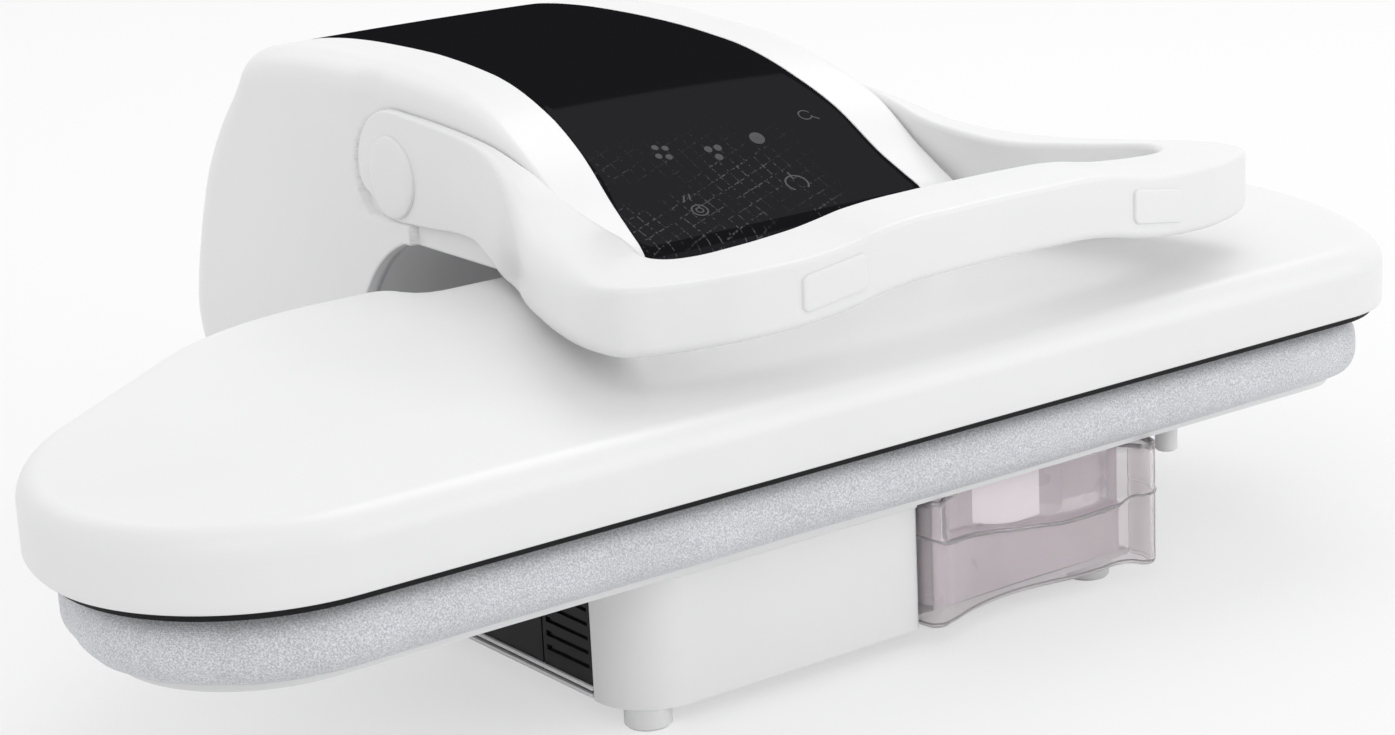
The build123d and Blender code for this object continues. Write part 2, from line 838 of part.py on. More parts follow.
# Base: floor pan, housings, dock for the tank, hinge towers
floor_z = foot_height
floor_top = floor_z + base_floor
pan_edge = base_wall + 0.2
channel_half = arm_half + 1.6
tower_thick = 4.0
tower_near = frame_room - 3.0 - 0.5 - tower_thick
slope_y = 330.0
slope_fall = 0.36
rear_corner = 40.0
channel_front = neck_y - 8.0
pump_x = -55.0
pump_y = -45.0


def pan_outline(z, grow=0.0):
    """Outline of the floor pan: it stops short of the tank's front and of the housings' walls."""
    left = base_left + pan_edge - grow
    back = rear_back - pan_edge + grow
    right = rear_right - pan_edge + grow
    face = base_front + pan_edge - grow
    dock_face = base_front + 8.0 - grow
    with BuildSketch(level(z)) as outline:
        with BuildLine():
            Polyline(
                (left, face),
                (dock_left - pan_edge + grow, face),
                (dock_left - pan_edge + grow, dock_face),
                (dock_right - 1.0 + grow, dock_face),
                (dock_right - 1.0 + grow, bay_back + pan_edge - grow),
                (right, bay_back + pan_edge - grow),
                (right, back),
                (left, back),
                close=True,
            )
        make_face()
        fillet(nearest(outline, left, face), base_corner - pan_edge + grow)
        fillet(nearest(outline, right, back), rear_corner - pan_edge + grow)
        fillet(nearest(outline, left, back), rear_corner - pan_edge + grow)
    return outline.sketch


with BuildPart() as pan_space:
    add(pan_outline(floor_z - 1.0, 0.1))
    extrude(amount=base_floor + 1.1)

with BuildPart() as base_pan:
    add(pan_outline(floor_z))
    extrude(amount=base_floor)
base_pan.part.label = "base_pan"
export_step(base_pan.part, "parts/base_pan.step")

with BuildPart() as front_housing:
    with BuildSketch(level(floor_z)) as outline:
        with BuildLine():
            Polyline(
                (base_left, bay_front),
                (base_left, base_front),
                (dock_left, base_front),
                (dock_left, dock_back),
                (dock_left - base_wall, dock_back),
                (dock_left - base_wall, base_front + base_wall),
                (base_left + base_wall, base_front + base_wall),
                (base_left + base_wall, bay_front),
                close=True,
            )
        make_face()
        fillet(nearest(outline, base_left, base_front), base_corner)
        fillet(nearest(outline, base_left + base_wall, base_front + base_wall), base_corner - base_wall)
        fillet(nearest(outline, dock_left, base_front), 2.5)
    extrude(amount=deck_z - floor_z)
    add(pan_space.part, mode=Mode.SUBTRACT)
front_housing.part.label = "front_housing"
export_step(front_housing.part, "parts/front_housing.step")

with BuildPart() as side_bay:
    with BuildSketch(level(floor_top + 0.4)):
        with BuildLine():
            Polyline(
                (base_left + 0.6, bay_front + 0.3),
                (base_left + 0.6, bay_back - 0.3),
                (base_left + 0.6 + base_wall, bay_back - 0.3),
                (base_left + 0.6 + base_wall, bay_front + 0.3),
                close=True,
            )
        make_face()
    extrude(amount=deck_z - floor_top - 0.4)
    with BuildSketch(Plane(origin=(base_left, plate_y + (bay_front + bay_seam) / 2, floor_top), z_dir=(1, 0, 0), x_dir=(0, 1, 0))):
        with Locations((0, 26.0)):
            with GridLocations(1.0, 6.0, 1, 6):
                Rectangle(bay_seam - bay_front - 6.0, 2.4)
    extrude(amount=1.8, mode=Mode.SUBTRACT)
    with BuildSketch(Plane(origin=(base_left, plate_y + bay_seam, floor_top), z_dir=(1, 0, 0), x_dir=(0, 1, 0))):
        with Locations((0, 26.0)):
            Rectangle(1.0, 60.0)
    extrude(amount=1.4, mode=Mode.SUBTRACT)
side_bay.part.label = "side_bay"
export_step(side_bay.part, "parts/side_bay.step")

rear_wall_z = 30.0
inlet_x = 184.0
inlet_z = 24.0
inlet_radius = 6.0


def rear_block(inset, top):
    """Solid of the rear housing, drawn in by an inset, with its roof sloping down behind."""
    with BuildPart() as block:
        with BuildSketch(level(floor_z - inset)) as outline:
            with BuildLine():
                Polyline(
                    (base_left + inset, bay_back + inset),
                    (rear_right - inset, bay_back + inset),
                    (rear_right - inset, rear_back - inset),
                    (base_left + inset, rear_back - inset),
                    close=True,
                )
            make_face()
            fillet(nearest(outline, rear_right - inset, rear_back - inset), rear_corner - inset)
            fillet(nearest(outline, base_left + inset, rear_back - inset), rear_corner - inset)
        extrude(amount=top - floor_z + inset)
        with BuildSketch(side(base_left - 1.0)):
            with BuildLine():
                Polyline(
                    (slope_y, top),
                    (slope_y, top + 10.0),
                    (rear_back + 10.0, top + 10.0),
                    (rear_back + 10.0, top - (rear_back + 10.0 - slope_y) * slope_fall),
                    close=True,
                )
            make_face()
        extrude(amount=rear_right - base_left + 2.0, mode=Mode.SUBTRACT)
    return block.part


with BuildPart() as rear_housing:
    add(rear_block(0.0, deck_z))
    fillet(rear_housing.faces().group_by(Axis.Z)[-1].edges().sort_by(Axis.Y)[1:], 3.0)
    add(rear_block(base_wall, deck_z - base_wall), mode=Mode.SUBTRACT)
    with BuildSketch(level(floor_z, arm_x, (channel_front + rear_back) / 2)):
        Rectangle(2 * (channel_half + base_wall), rear_back - channel_front - 2.0)
    extrude(amount=deck_z - floor_z)
    with BuildSketch(side(arm_x - channel_half - base_wall - 1.0)):
        with BuildLine():
            Polyline(
                (slope_y, deck_z),
                (slope_y, deck_z + 10.0),
                (rear_back + 10.0, deck_z + 10.0),
                (rear_back + 10.0, deck_z - (rear_back + 10.0 - slope_y) * slope_fall),
                close=True,
            )
        make_face()
    extrude(amount=2 * (channel_half + base_wall) + 2.0, mode=Mode.SUBTRACT)
    with BuildSketch(level(floor_z - 1.0, arm_x, (channel_front + rear_back) / 2)):
        Rectangle(2 * channel_half, rear_back - channel_front - 2 * base_wall)
    extrude(amount=deck_z, mode=Mode.SUBTRACT)
    with BuildSketch(level(rear_wall_z, arm_x, rear_back - base_wall)):
        Rectangle(2 * channel_half, 3 * base_wall)
    extrude(amount=deck_z, mode=Mode.SUBTRACT)
    add(pan_space.part, mode=Mode.SUBTRACT)
    with BuildSketch(front(rear_back + 1.0, inlet_x)):
        with Locations((0, inlet_z)):
            Circle(inlet_radius + 0.1)
    extrude(amount=base_wall + 3.0, mode=Mode.SUBTRACT)
rear_housing.part.label = "rear_housing"
export_step(rear_housing.part, "parts/rear_housing.step")

foot_places = [(-105.0, -95.7), (137.0, -90.0), (-95.0, 376.0), (218.0, 376.0), (-105.0, 140.0), (228.0, 60.0)]
with BuildPart() as feet:
    with BuildSketch(level(0)):
        with Locations(*foot_places):
            Circle(foot_radius)
    extrude(amount=foot_height)
    chamfer(feet.edges().group_by(Axis.Z)[0], 1.0)
feet.part.label = "feet"
export_step(feet.part, "parts/feet.step")

with BuildPart() as hinge_towers:
    for way in (-1, 1):
        with BuildSketch(side(arm_x + way * tower_near)):
            with BuildLine():
                Polyline(
                    (hinge_y - 18.0, floor_top),
                    (hinge_y + 18.0, floor_top),
                    (hinge_y + 14.0, hinge_z),
                    (hinge_y - 14.0, hinge_z),
                    close=True,
                )
            make_face()
            with Locations((hinge_y, hinge_z)):
                Circle(14.0)
                Circle(pin_radius, mode=Mode.SUBTRACT)
        extrude(amount=way * tower_thick)
        with BuildSketch(level(floor_top, arm_x + way * (tower_near - 14.0), hinge_y)):
            Rectangle(28.0, 36.0)
            with GridLocations(1.0, 24.0, 1, 2):
                Circle(2.6, mode=Mode.SUBTRACT)
        extrude(amount=tower_thick)
hinge_towers.part.label = "hinge_towers"
export_step(hinge_towers.part, "parts/hinge_towers.step")

axle_half = frame_half + 6.0
with BuildPart() as hinge_axle:
    with BuildSketch(side(arm_x - axle_half)):
        with Locations((hinge_y, hinge_z)):
            Circle(pin_radius)
    extrude(amount=2 * axle_half)
    chamfer(hinge_axle.edges().filter_by(GeomType.CIRCLE), 0.8)
hinge_axle.part.label = "hinge_axle"
export_step(hinge_axle.part, "parts/hinge_axle.step")

with BuildPart() as axle_clips:
    for way in (-1, 1):
        with BuildSketch(side(arm_x + way * (frame_half + 2.4))):
            with Locations((hinge_y, hinge_z)):
                Circle(10.0)
                Circle(pin_radius + running, mode=Mode.SUBTRACT)
        extrude(amount=way * 1.5)
axle_clips.part.label = "axle_clips"
export_step(axle_clips.part, "parts/axle_clips.step")

with BuildPart() as lift_springs:
    for way in (-1, 1):
        with BuildSketch(side(arm_x + way * 14.0)):
            with Locations((hinge_y, hinge_z)):
                Circle(pin_radius + 3.8)
                Circle(pin_radius + 0.3, mode=Mode.SUBTRACT)
        extrude(amount=way * (tower_near - 14.5))
lift_springs.part.label = "lift_springs"
export_step(lift_springs.part, "parts/lift_springs.step")


# Water tank and its dock
tank_left = dock_left + 1.0
tank_right = dock_right + 2.0
body_left = tank_left + tank_flange + 1.0
body_right = dock_right - 5.5
tank_back = 6.0
step_y = -99.0
dock_roof = 60.4

with BuildPart() as tank_dock:
    with BuildSketch(level(floor_top, (body_left + body_right) / 2)):
        with BuildLine():
            half = (body_right - body_left) / 2 + 0.5
            Polyline(
                (-half, step_y + 4.0),
                (-half, tank_back + 4.0),
                (half, tank_back + 4.0),
                (half, step_y + 4.0),
                (half + 2.2, step_y + 4.0),
                (half + 2.2, tank_back + 6.2),
                (-half - 2.2, tank_back + 6.2),
                (-half - 2.2, step_y + 4.0),
                close=True,
            )
        make_face()
    extrude(amount=dock_roof - floor_top)
    with BuildSketch(level(dock_roof, (body_left + body_right) / 2, (step_y + tank_back) / 2 + 5.1)):
        Rectangle(2 * half + 4.4, tank_back - step_y + 2.2)
    extrude(amount=2.2)
    with BuildSketch(front(tank_back + 4.0, 90.0)):
        with Locations((0, 24.0)):
            Circle(8.0)
            Circle(5.2, mode=Mode.SUBTRACT)
    extrude(amount=3.0)
    with BuildSketch(front(tank_back + 3.0, 90.0)):
        with Locations((0, 24.0)):
            Circle(5.2)
    extrude(amount=-6.0, mode=Mode.SUBTRACT)
tank_dock.part.label = "tank_dock"
export_step(tank_dock.part, "parts/tank_dock.step")


def tank_plan(inset, z):
    """Plan of the tank: a narrow body behind and a wider front with a hollowed face."""
    with BuildSketch(level(z)) as plan:
        with BuildLine():
            Polyline(
                (tank_left + 6.0, tank_front),
                (tank_left, tank_front + 6.0),
                (tank_left, step_y),
                (body_left, step_y),
                (body_left, tank_back),
                (body_right, tank_back),
                (body_right, step_y),
                (tank_right, step_y),
                (tank_right, tank_front + 6.0),
                (tank_right - 6.0, tank_front),
            )
            Spline(
                (tank_right - 6.0, tank_front),
                (110.0, -110.0),
                (86.0, -107.0),
                (62.0, -109.5),
                (tank_left + 6.0, tank_front),
                tangents=((-1.0, 0.0), (-1.0, 0.0)),
            )
        make_face()
        if inset:
            offset(amount=-inset)
    return plan.sketch


with BuildPart() as water_tank:
    add(tank_plan(0, tank_bottom))
    extrude(amount=tank_top - tank_bottom)
    with BuildSketch(front(step_y - 3.0)):
        with BuildLine():
            Spline(
                (tank_left - 1.0, 49.0),
                (51.0, 43.5),
                (81.0, 38.3),
                (105.0, 36.0),
                (132.0, 36.6),
                (144.0, 41.5),
                (tank_right + 1.0, 43.0),
            )
            Polyline((tank_right + 1.0, 43.0), (tank_right + 1.0, 52.0), (tank_left - 1.0, 52.0), (tank_left - 1.0, 49.0))
        make_face()
    extrude(amount=30.0, mode=Mode.SUBTRACT)
    with BuildSketch(level(tank_bottom - 1.0, (tank_left + tank_right) / 2, base_front + 7.6)):
        Rectangle(tank_right - tank_left, 2 * (tank_back - step_y), align=(Align.CENTER, Align.MIN))
    extrude(amount=floor_top + 0.4 - tank_bottom + 1.0, mode=Mode.SUBTRACT)
    with BuildSketch(level(floor_top + 0.4 + tank_wall)):
        with BuildLine():
            Polyline(
                (body_left + tank_wall, step_y + tank_wall - 1.0),
                (body_right - tank_wall, step_y + tank_wall - 1.0),
                (body_right - tank_wall, tank_back - tank_wall),
                (body_left + tank_wall, tank_back - tank_wall),
                close=True,
            )
        make_face()
    extrude(amount=tank_top, mode=Mode.SUBTRACT)
    with BuildSketch(front(tank_back - tank_wall - 1.0, 90.0)):
        with Locations((0, 24.0)):
            Circle(3.2)
    extrude(amount=-tank_wall - 2.0, mode=Mode.SUBTRACT)
water_tank.part.label = "water_tank"
export_step(water_tank.part, "parts/water_tank.step")

cap_x = 90.0
cap_y = -40.0
with BuildPart() as tank_lid:
    with BuildSketch(level(tank_top, (body_left + body_right) / 2, (step_y + tank_back) / 2)):
        RectangleRounded(body_right - body_left, tank_back - step_y, 4.0)
    extrude(amount=1.6)
    with BuildSketch(level(tank_top, cap_x, cap_y)):
        Circle(15.0)
    extrude(amount=2.0, mode=Mode.SUBTRACT)
tank_lid.part.label = "tank_lid"
export_step(tank_lid.part, "parts/tank_lid.step")

with BuildPart() as tank_cap:
    with BuildSketch(level(tank_top - 8.0, cap_x, cap_y)):
        Circle(14.9)
        Circle(12.5, mode=Mode.SUBTRACT)
    extrude(amount=8.0)
    with BuildSketch(level(tank_top, cap_x, cap_y)):
        Circle(14.9)
    extrude(amount=2.0)
    with BuildSketch(level(tank_top + 2.0, cap_x, cap_y)):
        RectangleRounded(24.0, 4.0, 1.5)
    extrude(amount=1.0)
tank_cap.part.label = "tank_cap"
export_step(tank_cap.part, "parts/tank_cap.step")

with BuildPart() as tank_valve:
    with BuildSketch(front(tank_back - tank_wall - 3.0, 90.0)):
        with Locations((0, 24.0)):
            Circle(3.1)
    extrude(amount=-(tank_wall + 3.0 + 6.0))
    with BuildSketch(front(tank_back - tank_wall, 90.0)):
        with Locations((0, 24.0)):
            Circle(6.0)
    extrude(amount=3.0)
tank_valve.part.label = "tank_valve"
export_step(tank_valve.part, "parts/tank_valve.step")

with BuildPart() as pump:
    with BuildSketch(front(pump_y - 20.0, pump_x)):
        with Locations((0, floor_top + 18.0)):
            Circle(14.0)
    extrude(amount=-40.0)
    with BuildSketch(front(pump_y + 20.0, pump_x)):
        with Locations((0, floor_top + 18.0)):
            Circle(5.0)
    extrude(amount=-14.0)
    with BuildSketch(level(floor_top, pump_x, pump_y)):
        Rectangle(30.0, 24.0)
    extrude(amount=8.0)
pump.part.label = "pump"
export_step(pump.part, "parts/pump.step")

with BuildPart() as power_board:
    with BuildSketch(level(floor_top + 6.0, -45.0, 90.0)):
        RectangleRounded(90.0, 70.0, 2.0)
    extrude(amount=1.6)
    with BuildSketch(level(floor_top, -45.0, 90.0)):
        with GridLocations(76.0, 56.0, 2, 2):
            Circle(3.0)
    extrude(amount=6.0)
    with BuildSketch(level(floor_top + 7.6, -60.0, 95.0)):
        Rectangle(26.0, 22.0)
    extrude(amount=18.0)
power_board.part.label = "power_board"
export_step(power_board.part, "parts/power_board.step")

stud_places = [(182.5, -93.4)]
with BuildPart() as board_studs:
    with BuildSketch(level(48.4)):
        with Locations(*stud_places):
            Circle(5.0)
    extrude(amount=tray_z + tray_rim - tray_sheet - 0.1 - 48.4)
    chamfer(board_studs.edges().group_by(Axis.Z)[0], 0.8)
board_studs.part.label = "board_studs"
export_step(board_studs.part, "parts/board_studs.step")

with BuildPart() as power_inlet:
    with BuildSketch(front(rear_back + 3.0, inlet_x)):
        with Locations((0, inlet_z)):
            Circle(8.0)
            Circle(3.6, mode=Mode.SUBTRACT)
    extrude(amount=3.0)
    with BuildSketch(front(rear_back, inlet_x)):
        with Locations((0, inlet_z)):
            Circle(inlet_radius)
            Circle(3.6, mode=Mode.SUBTRACT)
    extrude(amount=base_wall + 4.0)
power_inlet.part.label = "power_inlet"
export_step(power_inlet.part, "parts/power_inlet.step")
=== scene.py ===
import json
import math

import bmesh
import bpy
import numpy as np
from bpy.props import FloatProperty, FloatVectorProperty, IntProperty, PointerProperty
from mathutils import Matrix, Vector


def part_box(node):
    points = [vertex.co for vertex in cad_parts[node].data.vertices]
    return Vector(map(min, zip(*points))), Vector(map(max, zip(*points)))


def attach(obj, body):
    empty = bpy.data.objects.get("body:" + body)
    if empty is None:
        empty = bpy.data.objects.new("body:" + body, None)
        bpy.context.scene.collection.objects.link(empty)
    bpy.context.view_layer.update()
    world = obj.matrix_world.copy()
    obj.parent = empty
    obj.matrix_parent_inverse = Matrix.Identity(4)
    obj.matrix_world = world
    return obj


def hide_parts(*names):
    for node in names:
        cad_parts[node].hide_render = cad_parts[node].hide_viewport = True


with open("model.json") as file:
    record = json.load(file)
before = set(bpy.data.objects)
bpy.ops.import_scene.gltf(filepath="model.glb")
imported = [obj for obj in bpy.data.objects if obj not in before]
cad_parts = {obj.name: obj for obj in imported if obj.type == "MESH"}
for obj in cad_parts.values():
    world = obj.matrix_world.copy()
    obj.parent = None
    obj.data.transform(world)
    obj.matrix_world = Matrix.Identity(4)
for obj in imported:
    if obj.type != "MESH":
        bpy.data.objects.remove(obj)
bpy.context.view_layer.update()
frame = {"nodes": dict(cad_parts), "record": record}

bl_info = {
    "name": "Steam Press",
    "version": (1, 0, 0),
    "blender": (4, 5, 0),
    "location": "View3D > Sidebar > Steam Press",
    "description": "Dresses the packed steam press with its hood, handle, pad, tank and finishes",
    "category": "Object",
}

# Sizes in this file are millimetres from the middle of the pressing plate, unless a name says otherwise.
MM = 0.001
JOINTS = {joint["name"]: joint for joint in frame["record"]["behaviour"]["joints"]}
PLATE_LOW, PLATE_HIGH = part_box("head_shell")
PLATE_Y = (PLATE_LOW.y + PLATE_HIGH.y) / 2 / MM
ARM_X = JOINTS["arm_hinge"]["pos_m"][0] / MM
HINGE_Y = JOINTS["arm_hinge"]["pos_m"][1] / MM - PLATE_Y
HINGE_Z = JOINTS["arm_hinge"]["pos_m"][2] / MM
GRIP_Y = JOINTS["handle_lift"]["pos_m"][1] / MM - PLATE_Y
GRIP_Z = JOINTS["handle_lift"]["pos_m"][2] / MM


class PressSizes(bpy.types.PropertyGroup):
    """Sizes of the press's outer pieces, in metres."""

    plate_round: FloatProperty(
        name="Plate edge", description="Radius of the plate cover's upper edge", default=0.012, min=0.004, unit="LENGTH"
    )
    pad_round: FloatProperty(
        name="Pad edge", description="Radius of the pad's bull-nosed edge", default=0.0125, min=0.004, unit="LENGTH"
    )
    pad_wave: FloatProperty(
        name="Pad wave", description="How far the cloth's edge wanders in and out",
        default=0.0004, min=0.0, unit="LENGTH",
    )
    glass_groove: FloatProperty(
        name="Glass groove", description="Depth of the seat that the dark glass lies in",
        default=0.0018, min=0.0, unit="LENGTH",
    )
    hood_wall: FloatProperty(
        name="Hood wall", description="Thickness of the hood's moulding", default=0.0026, min=0.001, unit="LENGTH"
    )
    tank_wall: FloatProperty(
        name="Tank wall", description="Thickness of the clear tank front", default=0.0018, min=0.0008, unit="LENGTH"
    )
    screw_head: FloatProperty(
        name="Screw head", description="Radius of the base's screw heads", default=0.0034, min=0.001, unit="LENGTH"
    )
    screw_sides: IntProperty(name="Screw sides", description="Facets round each screw head", default=24, min=8, max=64)


class PressColours(bpy.types.PropertyGroup):
    """Colours of the press's finishes."""

    white: FloatVectorProperty(
        name="White", description="Moulded white housings", subtype="COLOR",
        default=(0.84, 0.84, 0.845), min=0.0, max=1.0
    )
    cloth: FloatVectorProperty(
        name="Pad cloth", description="Silver cover of the pad", subtype="COLOR",
        default=(0.70, 0.71, 0.745), min=0.0, max=1.0
    )
    glass: FloatVectorProperty(
        name="Touch panel", description="Dark glass over the hood", subtype="COLOR",
        default=(0.0035, 0.0035, 0.005), min=0.0, max=1.0
    )
    tank: FloatVectorProperty(
        name="Tank", description="Tint of the clear tank", subtype="COLOR",
        default=(0.975, 0.935, 0.955), min=0.0, max=1.0
    )
    floor: FloatVectorProperty(
        name="Floor", description="Pale floor", subtype="COLOR",
        default=(0.88, 0.88, 0.88), min=0.0, max=1.0
    )


# Node trees
MIX_FACTOR, MIX_FIRST, MIX_SECOND, MIX_COLOUR = 0, 6, 7, 2


class Value:
    """A node's socket that can stand in an expression: each operator adds its Math node."""

    def __init__(self, nodes, socket):
        self.nodes = nodes
        self.socket = socket

    def math(self, operation, *others):
        return self.nodes.maths(operation, self, *others)

    def __add__(self, other):
        return self.nodes.maths("ADD", self, other)

    def __radd__(self, other):
        return self.nodes.maths("ADD", other, self)

    def __sub__(self, other):
        return self.nodes.maths("SUBTRACT", self, other)

    def __rsub__(self, other):
        return self.nodes.maths("SUBTRACT", other, self)

    def __mul__(self, other):
        return self.nodes.maths("MULTIPLY", self, other)

    def __rmul__(self, other):
        return self.nodes.maths("MULTIPLY", other, self)

    def __truediv__(self, other):
        return self.nodes.maths("DIVIDE", self, other)

    def __rtruediv__(self, other):
        return self.nodes.maths("DIVIDE", other, self)

    def over(self, low, high):
        """0 below low, 1 above high, and smooth between."""
        sockets = {"Value": self, "From Min": low, "From Max": high}
        return self.nodes.node("ShaderNodeMapRange", {"interpolation_type": "SMOOTHSTEP"}, sockets)


class Nodes:
    """A node tree under construction."""

    def __init__(self, tree):
        self.tree = tree

    def plug(self, target, value):
        """Links a value, or each one of a list, to a socket; plain numbers are set on it."""
        if isinstance(value, Value):
            self.tree.links.new(value.socket, target)
        elif isinstance(value, list):
            for one in value:
                self.plug(target, one)
        elif hasattr(value, "__len__") and len(value) == 3 and len(target.default_value) == 4:
            target.default_value = (*value, 1.0)
        else:
            target.default_value = value

    def node(self, kind, settings=None, inputs=None, out=0):
        """Adds a node: its settings first, then the values or links of its sockets."""
        made = self.tree.nodes.new(kind)
        for setting, value in (settings or {}).items():
            setattr(made, setting, value)
        for socket, value in (inputs or {}).items():
            self.plug(made.inputs[socket], value)
        return Value(self, made.outputs[out]) if made.outputs else None

    def maths(self, operation, *values):
        return self.node("ShaderNodeMath", {"operation": operation}, dict(enumerate(values)))


class Finish(Nodes):
    """A material under construction, with its Principled shader."""

    def __init__(self, name, **principled):
        self.material = bpy.data.materials.new(name)
        self.material.use_nodes = True
        super().__init__(self.material.node_tree)
        self.shader = self.tree.nodes["Principled BSDF"]
        for socket, value in principled.items():
            self.feed(socket.replace("_", " "), value)

    def feed(self, socket, value):
        """Sets a socket of the Principled shader, or links a value to it."""
        self.plug(self.shader.inputs[socket], value)

    def place(self):
        """The point on the piece, in Object coordinates."""
        return self.node("ShaderNodeTexCoord", out="Object")

    def axis(self, letter):
        """One Object coordinate, in metres."""
        return self.node("ShaderNodeSeparateXYZ", inputs={0: self.place()}, out=letter)

    def noise(self, scale, detail=3.0, roughness=0.5, vector=None):
        """Soft noise from about 0.3 to 0.7; scale is its cells to the metre."""
        sockets = {"Scale": scale, "Detail": detail, "Roughness": roughness, "Vector": vector or self.place()}
        return self.node("ShaderNodeTexNoise", inputs=sockets)

    def blend(self, factor, first, second):
        """Mixes two colours."""
        sockets = {MIX_FACTOR: factor, MIX_FIRST: first, MIX_SECOND: second}
        return self.node("ShaderNodeMix", {"data_type": "RGBA"}, sockets, out=MIX_COLOUR)

    def cover(self, share, shader):
        """Lays a share of another shader over the Principled one."""
        mixed = self.node("ShaderNodeMixShader", inputs={0: share, 1: Value(self, self.shader.outputs[0]), 2: shader})
        self.plug(self.tree.nodes["Material Output"].inputs["Surface"], mixed)

    def bump(self, height, strength, distance):
        """Raises the surface by a value, up to a distance in metres."""
        normal = self.node("ShaderNodeBump", inputs={"Strength": strength, "Distance": distance, "Height": height})
        self.feed("Normal", normal)


def shaded(colour, share):
    """A colour made darker or lighter."""
    return tuple(min(1.0, channel * share) for channel in colour)


def moulded(name, colour, roughness, coat=0.0, shine=0.5, grain=0.000008):
    """Moulded plastic: faint mottling in colour and gloss and a fine orange-peel surface."""
    finish = Finish(name, Coat_Weight=coat, Coat_Roughness=0.12, Specular_IOR_Level=shine)
    mottle = 0.024
    cloud = finish.noise(9.0, 4.0)
    finish.feed("Base Color", finish.blend(cloud.over(0.3, 0.7), shaded(colour, 1.0 - mottle), colour))
    finish.feed("Roughness", finish.noise(30.0, 2.0) * 0.06 + (roughness - 0.03))
    finish.bump(finish.noise(90.0, 1.0), 0.2, grain)
    return finish.material


def metal(name, colour, roughness, stretch=(4.0, 120.0, 120.0)):
    """Drawn or cast metal with fine lines along one way."""
    finish = Finish(name, Metallic=1.0)
    lines = finish.node("ShaderNodeMapping", inputs={"Vector": finish.place(), "Scale": stretch})
    streak = finish.noise(6.0, 5.0, 0.6, lines)
    finish.feed("Base Color", finish.blend(streak.over(0.35, 0.7), shaded(colour, 0.82), colour))
    finish.feed("Roughness", streak * 0.16 + (roughness - 0.08))
    finish.bump(streak, 0.3, 0.00003)
    return finish.material


def dark_glass(colour):
    """Dark touch glass with a faint lattice of light lines behind its lower left part."""
    finish = Finish("touch_glass", Specular_IOR_Level=0.0)
    pitch, thin, faded = 0.0062, 0.03, 0.07
    along = finish.axis("X")
    back = finish.axis("Y")
    across = ((along + back * 0.22) / pitch).math("FRACT") - 0.5
    climb = ((back - along * 0.30) / pitch).math("FRACT") - 0.5
    bars = 1.0 - across.math("ABSOLUTE").over(thin, faded)
    rungs = 1.0 - climb.math("ABSOLUTE").over(thin, faded)
    speck = finish.noise(620.0, 2.0).over(0.46, 0.64)
    near = 1.0 - back.over((PLATE_Y + 48.0) * MM, (PLATE_Y + 78.0) * MM)
    left = 1.0 - along.over((ARM_X + 8.0) * MM, (ARM_X + 46.0) * MM)
    patchy = finish.noise(30.0, 2.0).over(0.34, 0.56)
    lattice = bars.math("MAXIMUM", rungs) * speck * near * left * patchy
    finish.feed("Base Color", finish.blend(lattice * 0.5, colour, (0.16, 0.16, 0.18)))
    finish.feed("Roughness", finish.noise(40.0, 2.0) * 0.03 + 0.07)
    gloss = finish.node("ShaderNodeBsdfGlossy", inputs={"Roughness": 0.06})
    finish.cover(0.007, gloss)
    return finish.material


def silver_cloth(colour):
    """Heat-proof silver cloth: a fine crossed weave with a mottled metallic sheen."""
    finish = Finish("silver_cloth", Sheen_Weight=0.2, Sheen_Roughness=0.4, Metallic=0.25)
    turns = math.tau / 0.0011
    over, under, upright = (finish.axis(letter) * turns for letter in "XYZ")
    weave = over.math("SINE") * (under + upright).math("SINE") * 0.5 + 0.5
    fleck = finish.noise(1400.0, 3.0, 0.7)
    cloud = finish.noise(26.0, 4.0)
    shade = fleck.over(0.36, 0.66) * 0.70 + cloud.over(0.3, 0.75) * 0.10 + weave * 0.20
    finish.feed("Base Color", finish.blend(shade, shaded(colour, 0.62), shaded(colour, 1.28)))
    finish.feed("Roughness", 0.62 - fleck * 0.16)
    finish.bump(weave * 0.5 + fleck, 0.6, 0.0003)
    return finish.material


def clear_plastic(name, colour, through, roughness):
    """Clear moulded plastic with a slight tint and faint flow marks."""
    finish = Finish(name, Transmission_Weight=through, IOR=1.46, Coat_Weight=0.3, Coat_Roughness=0.04)
    flow = finish.noise(22.0, 3.0)
    finish.feed("Base Color", finish.blend(flow.over(0.35, 0.7), shaded(colour, 0.93), colour))
    finish.feed("Roughness", flow * 0.05 + roughness)
    finish.bump(flow, 0.15, 0.0004)
    return finish.material


def rubber(name, colour):
    """Matt seal rubber with a little dust."""
    finish = Finish(name, Specular_IOR_Level=0.2)
    dust = finish.noise(300.0, 4.0)
    finish.feed("Base Color", finish.blend(dust.over(0.45, 0.75), colour, shaded(colour, 1.8)))
    finish.feed("Roughness", dust * 0.2 + 0.42)
    finish.bump(dust, 0.4, 0.00006)
    return finish.material


def fibre(name, colour):
    """Matted insulation fibre."""
    finish = Finish(name, Sheen_Weight=0.3)
    hairs = finish.noise(500.0, 5.0, 0.7)
    finish.feed("Base Color", finish.blend(hairs.over(0.35, 0.7), shaded(colour, 0.7), colour))
    finish.feed("Roughness", hairs * 0.1 + 0.85)
    finish.bump(hairs, 0.7, 0.0004)
    return finish.material


FINISHES = {}


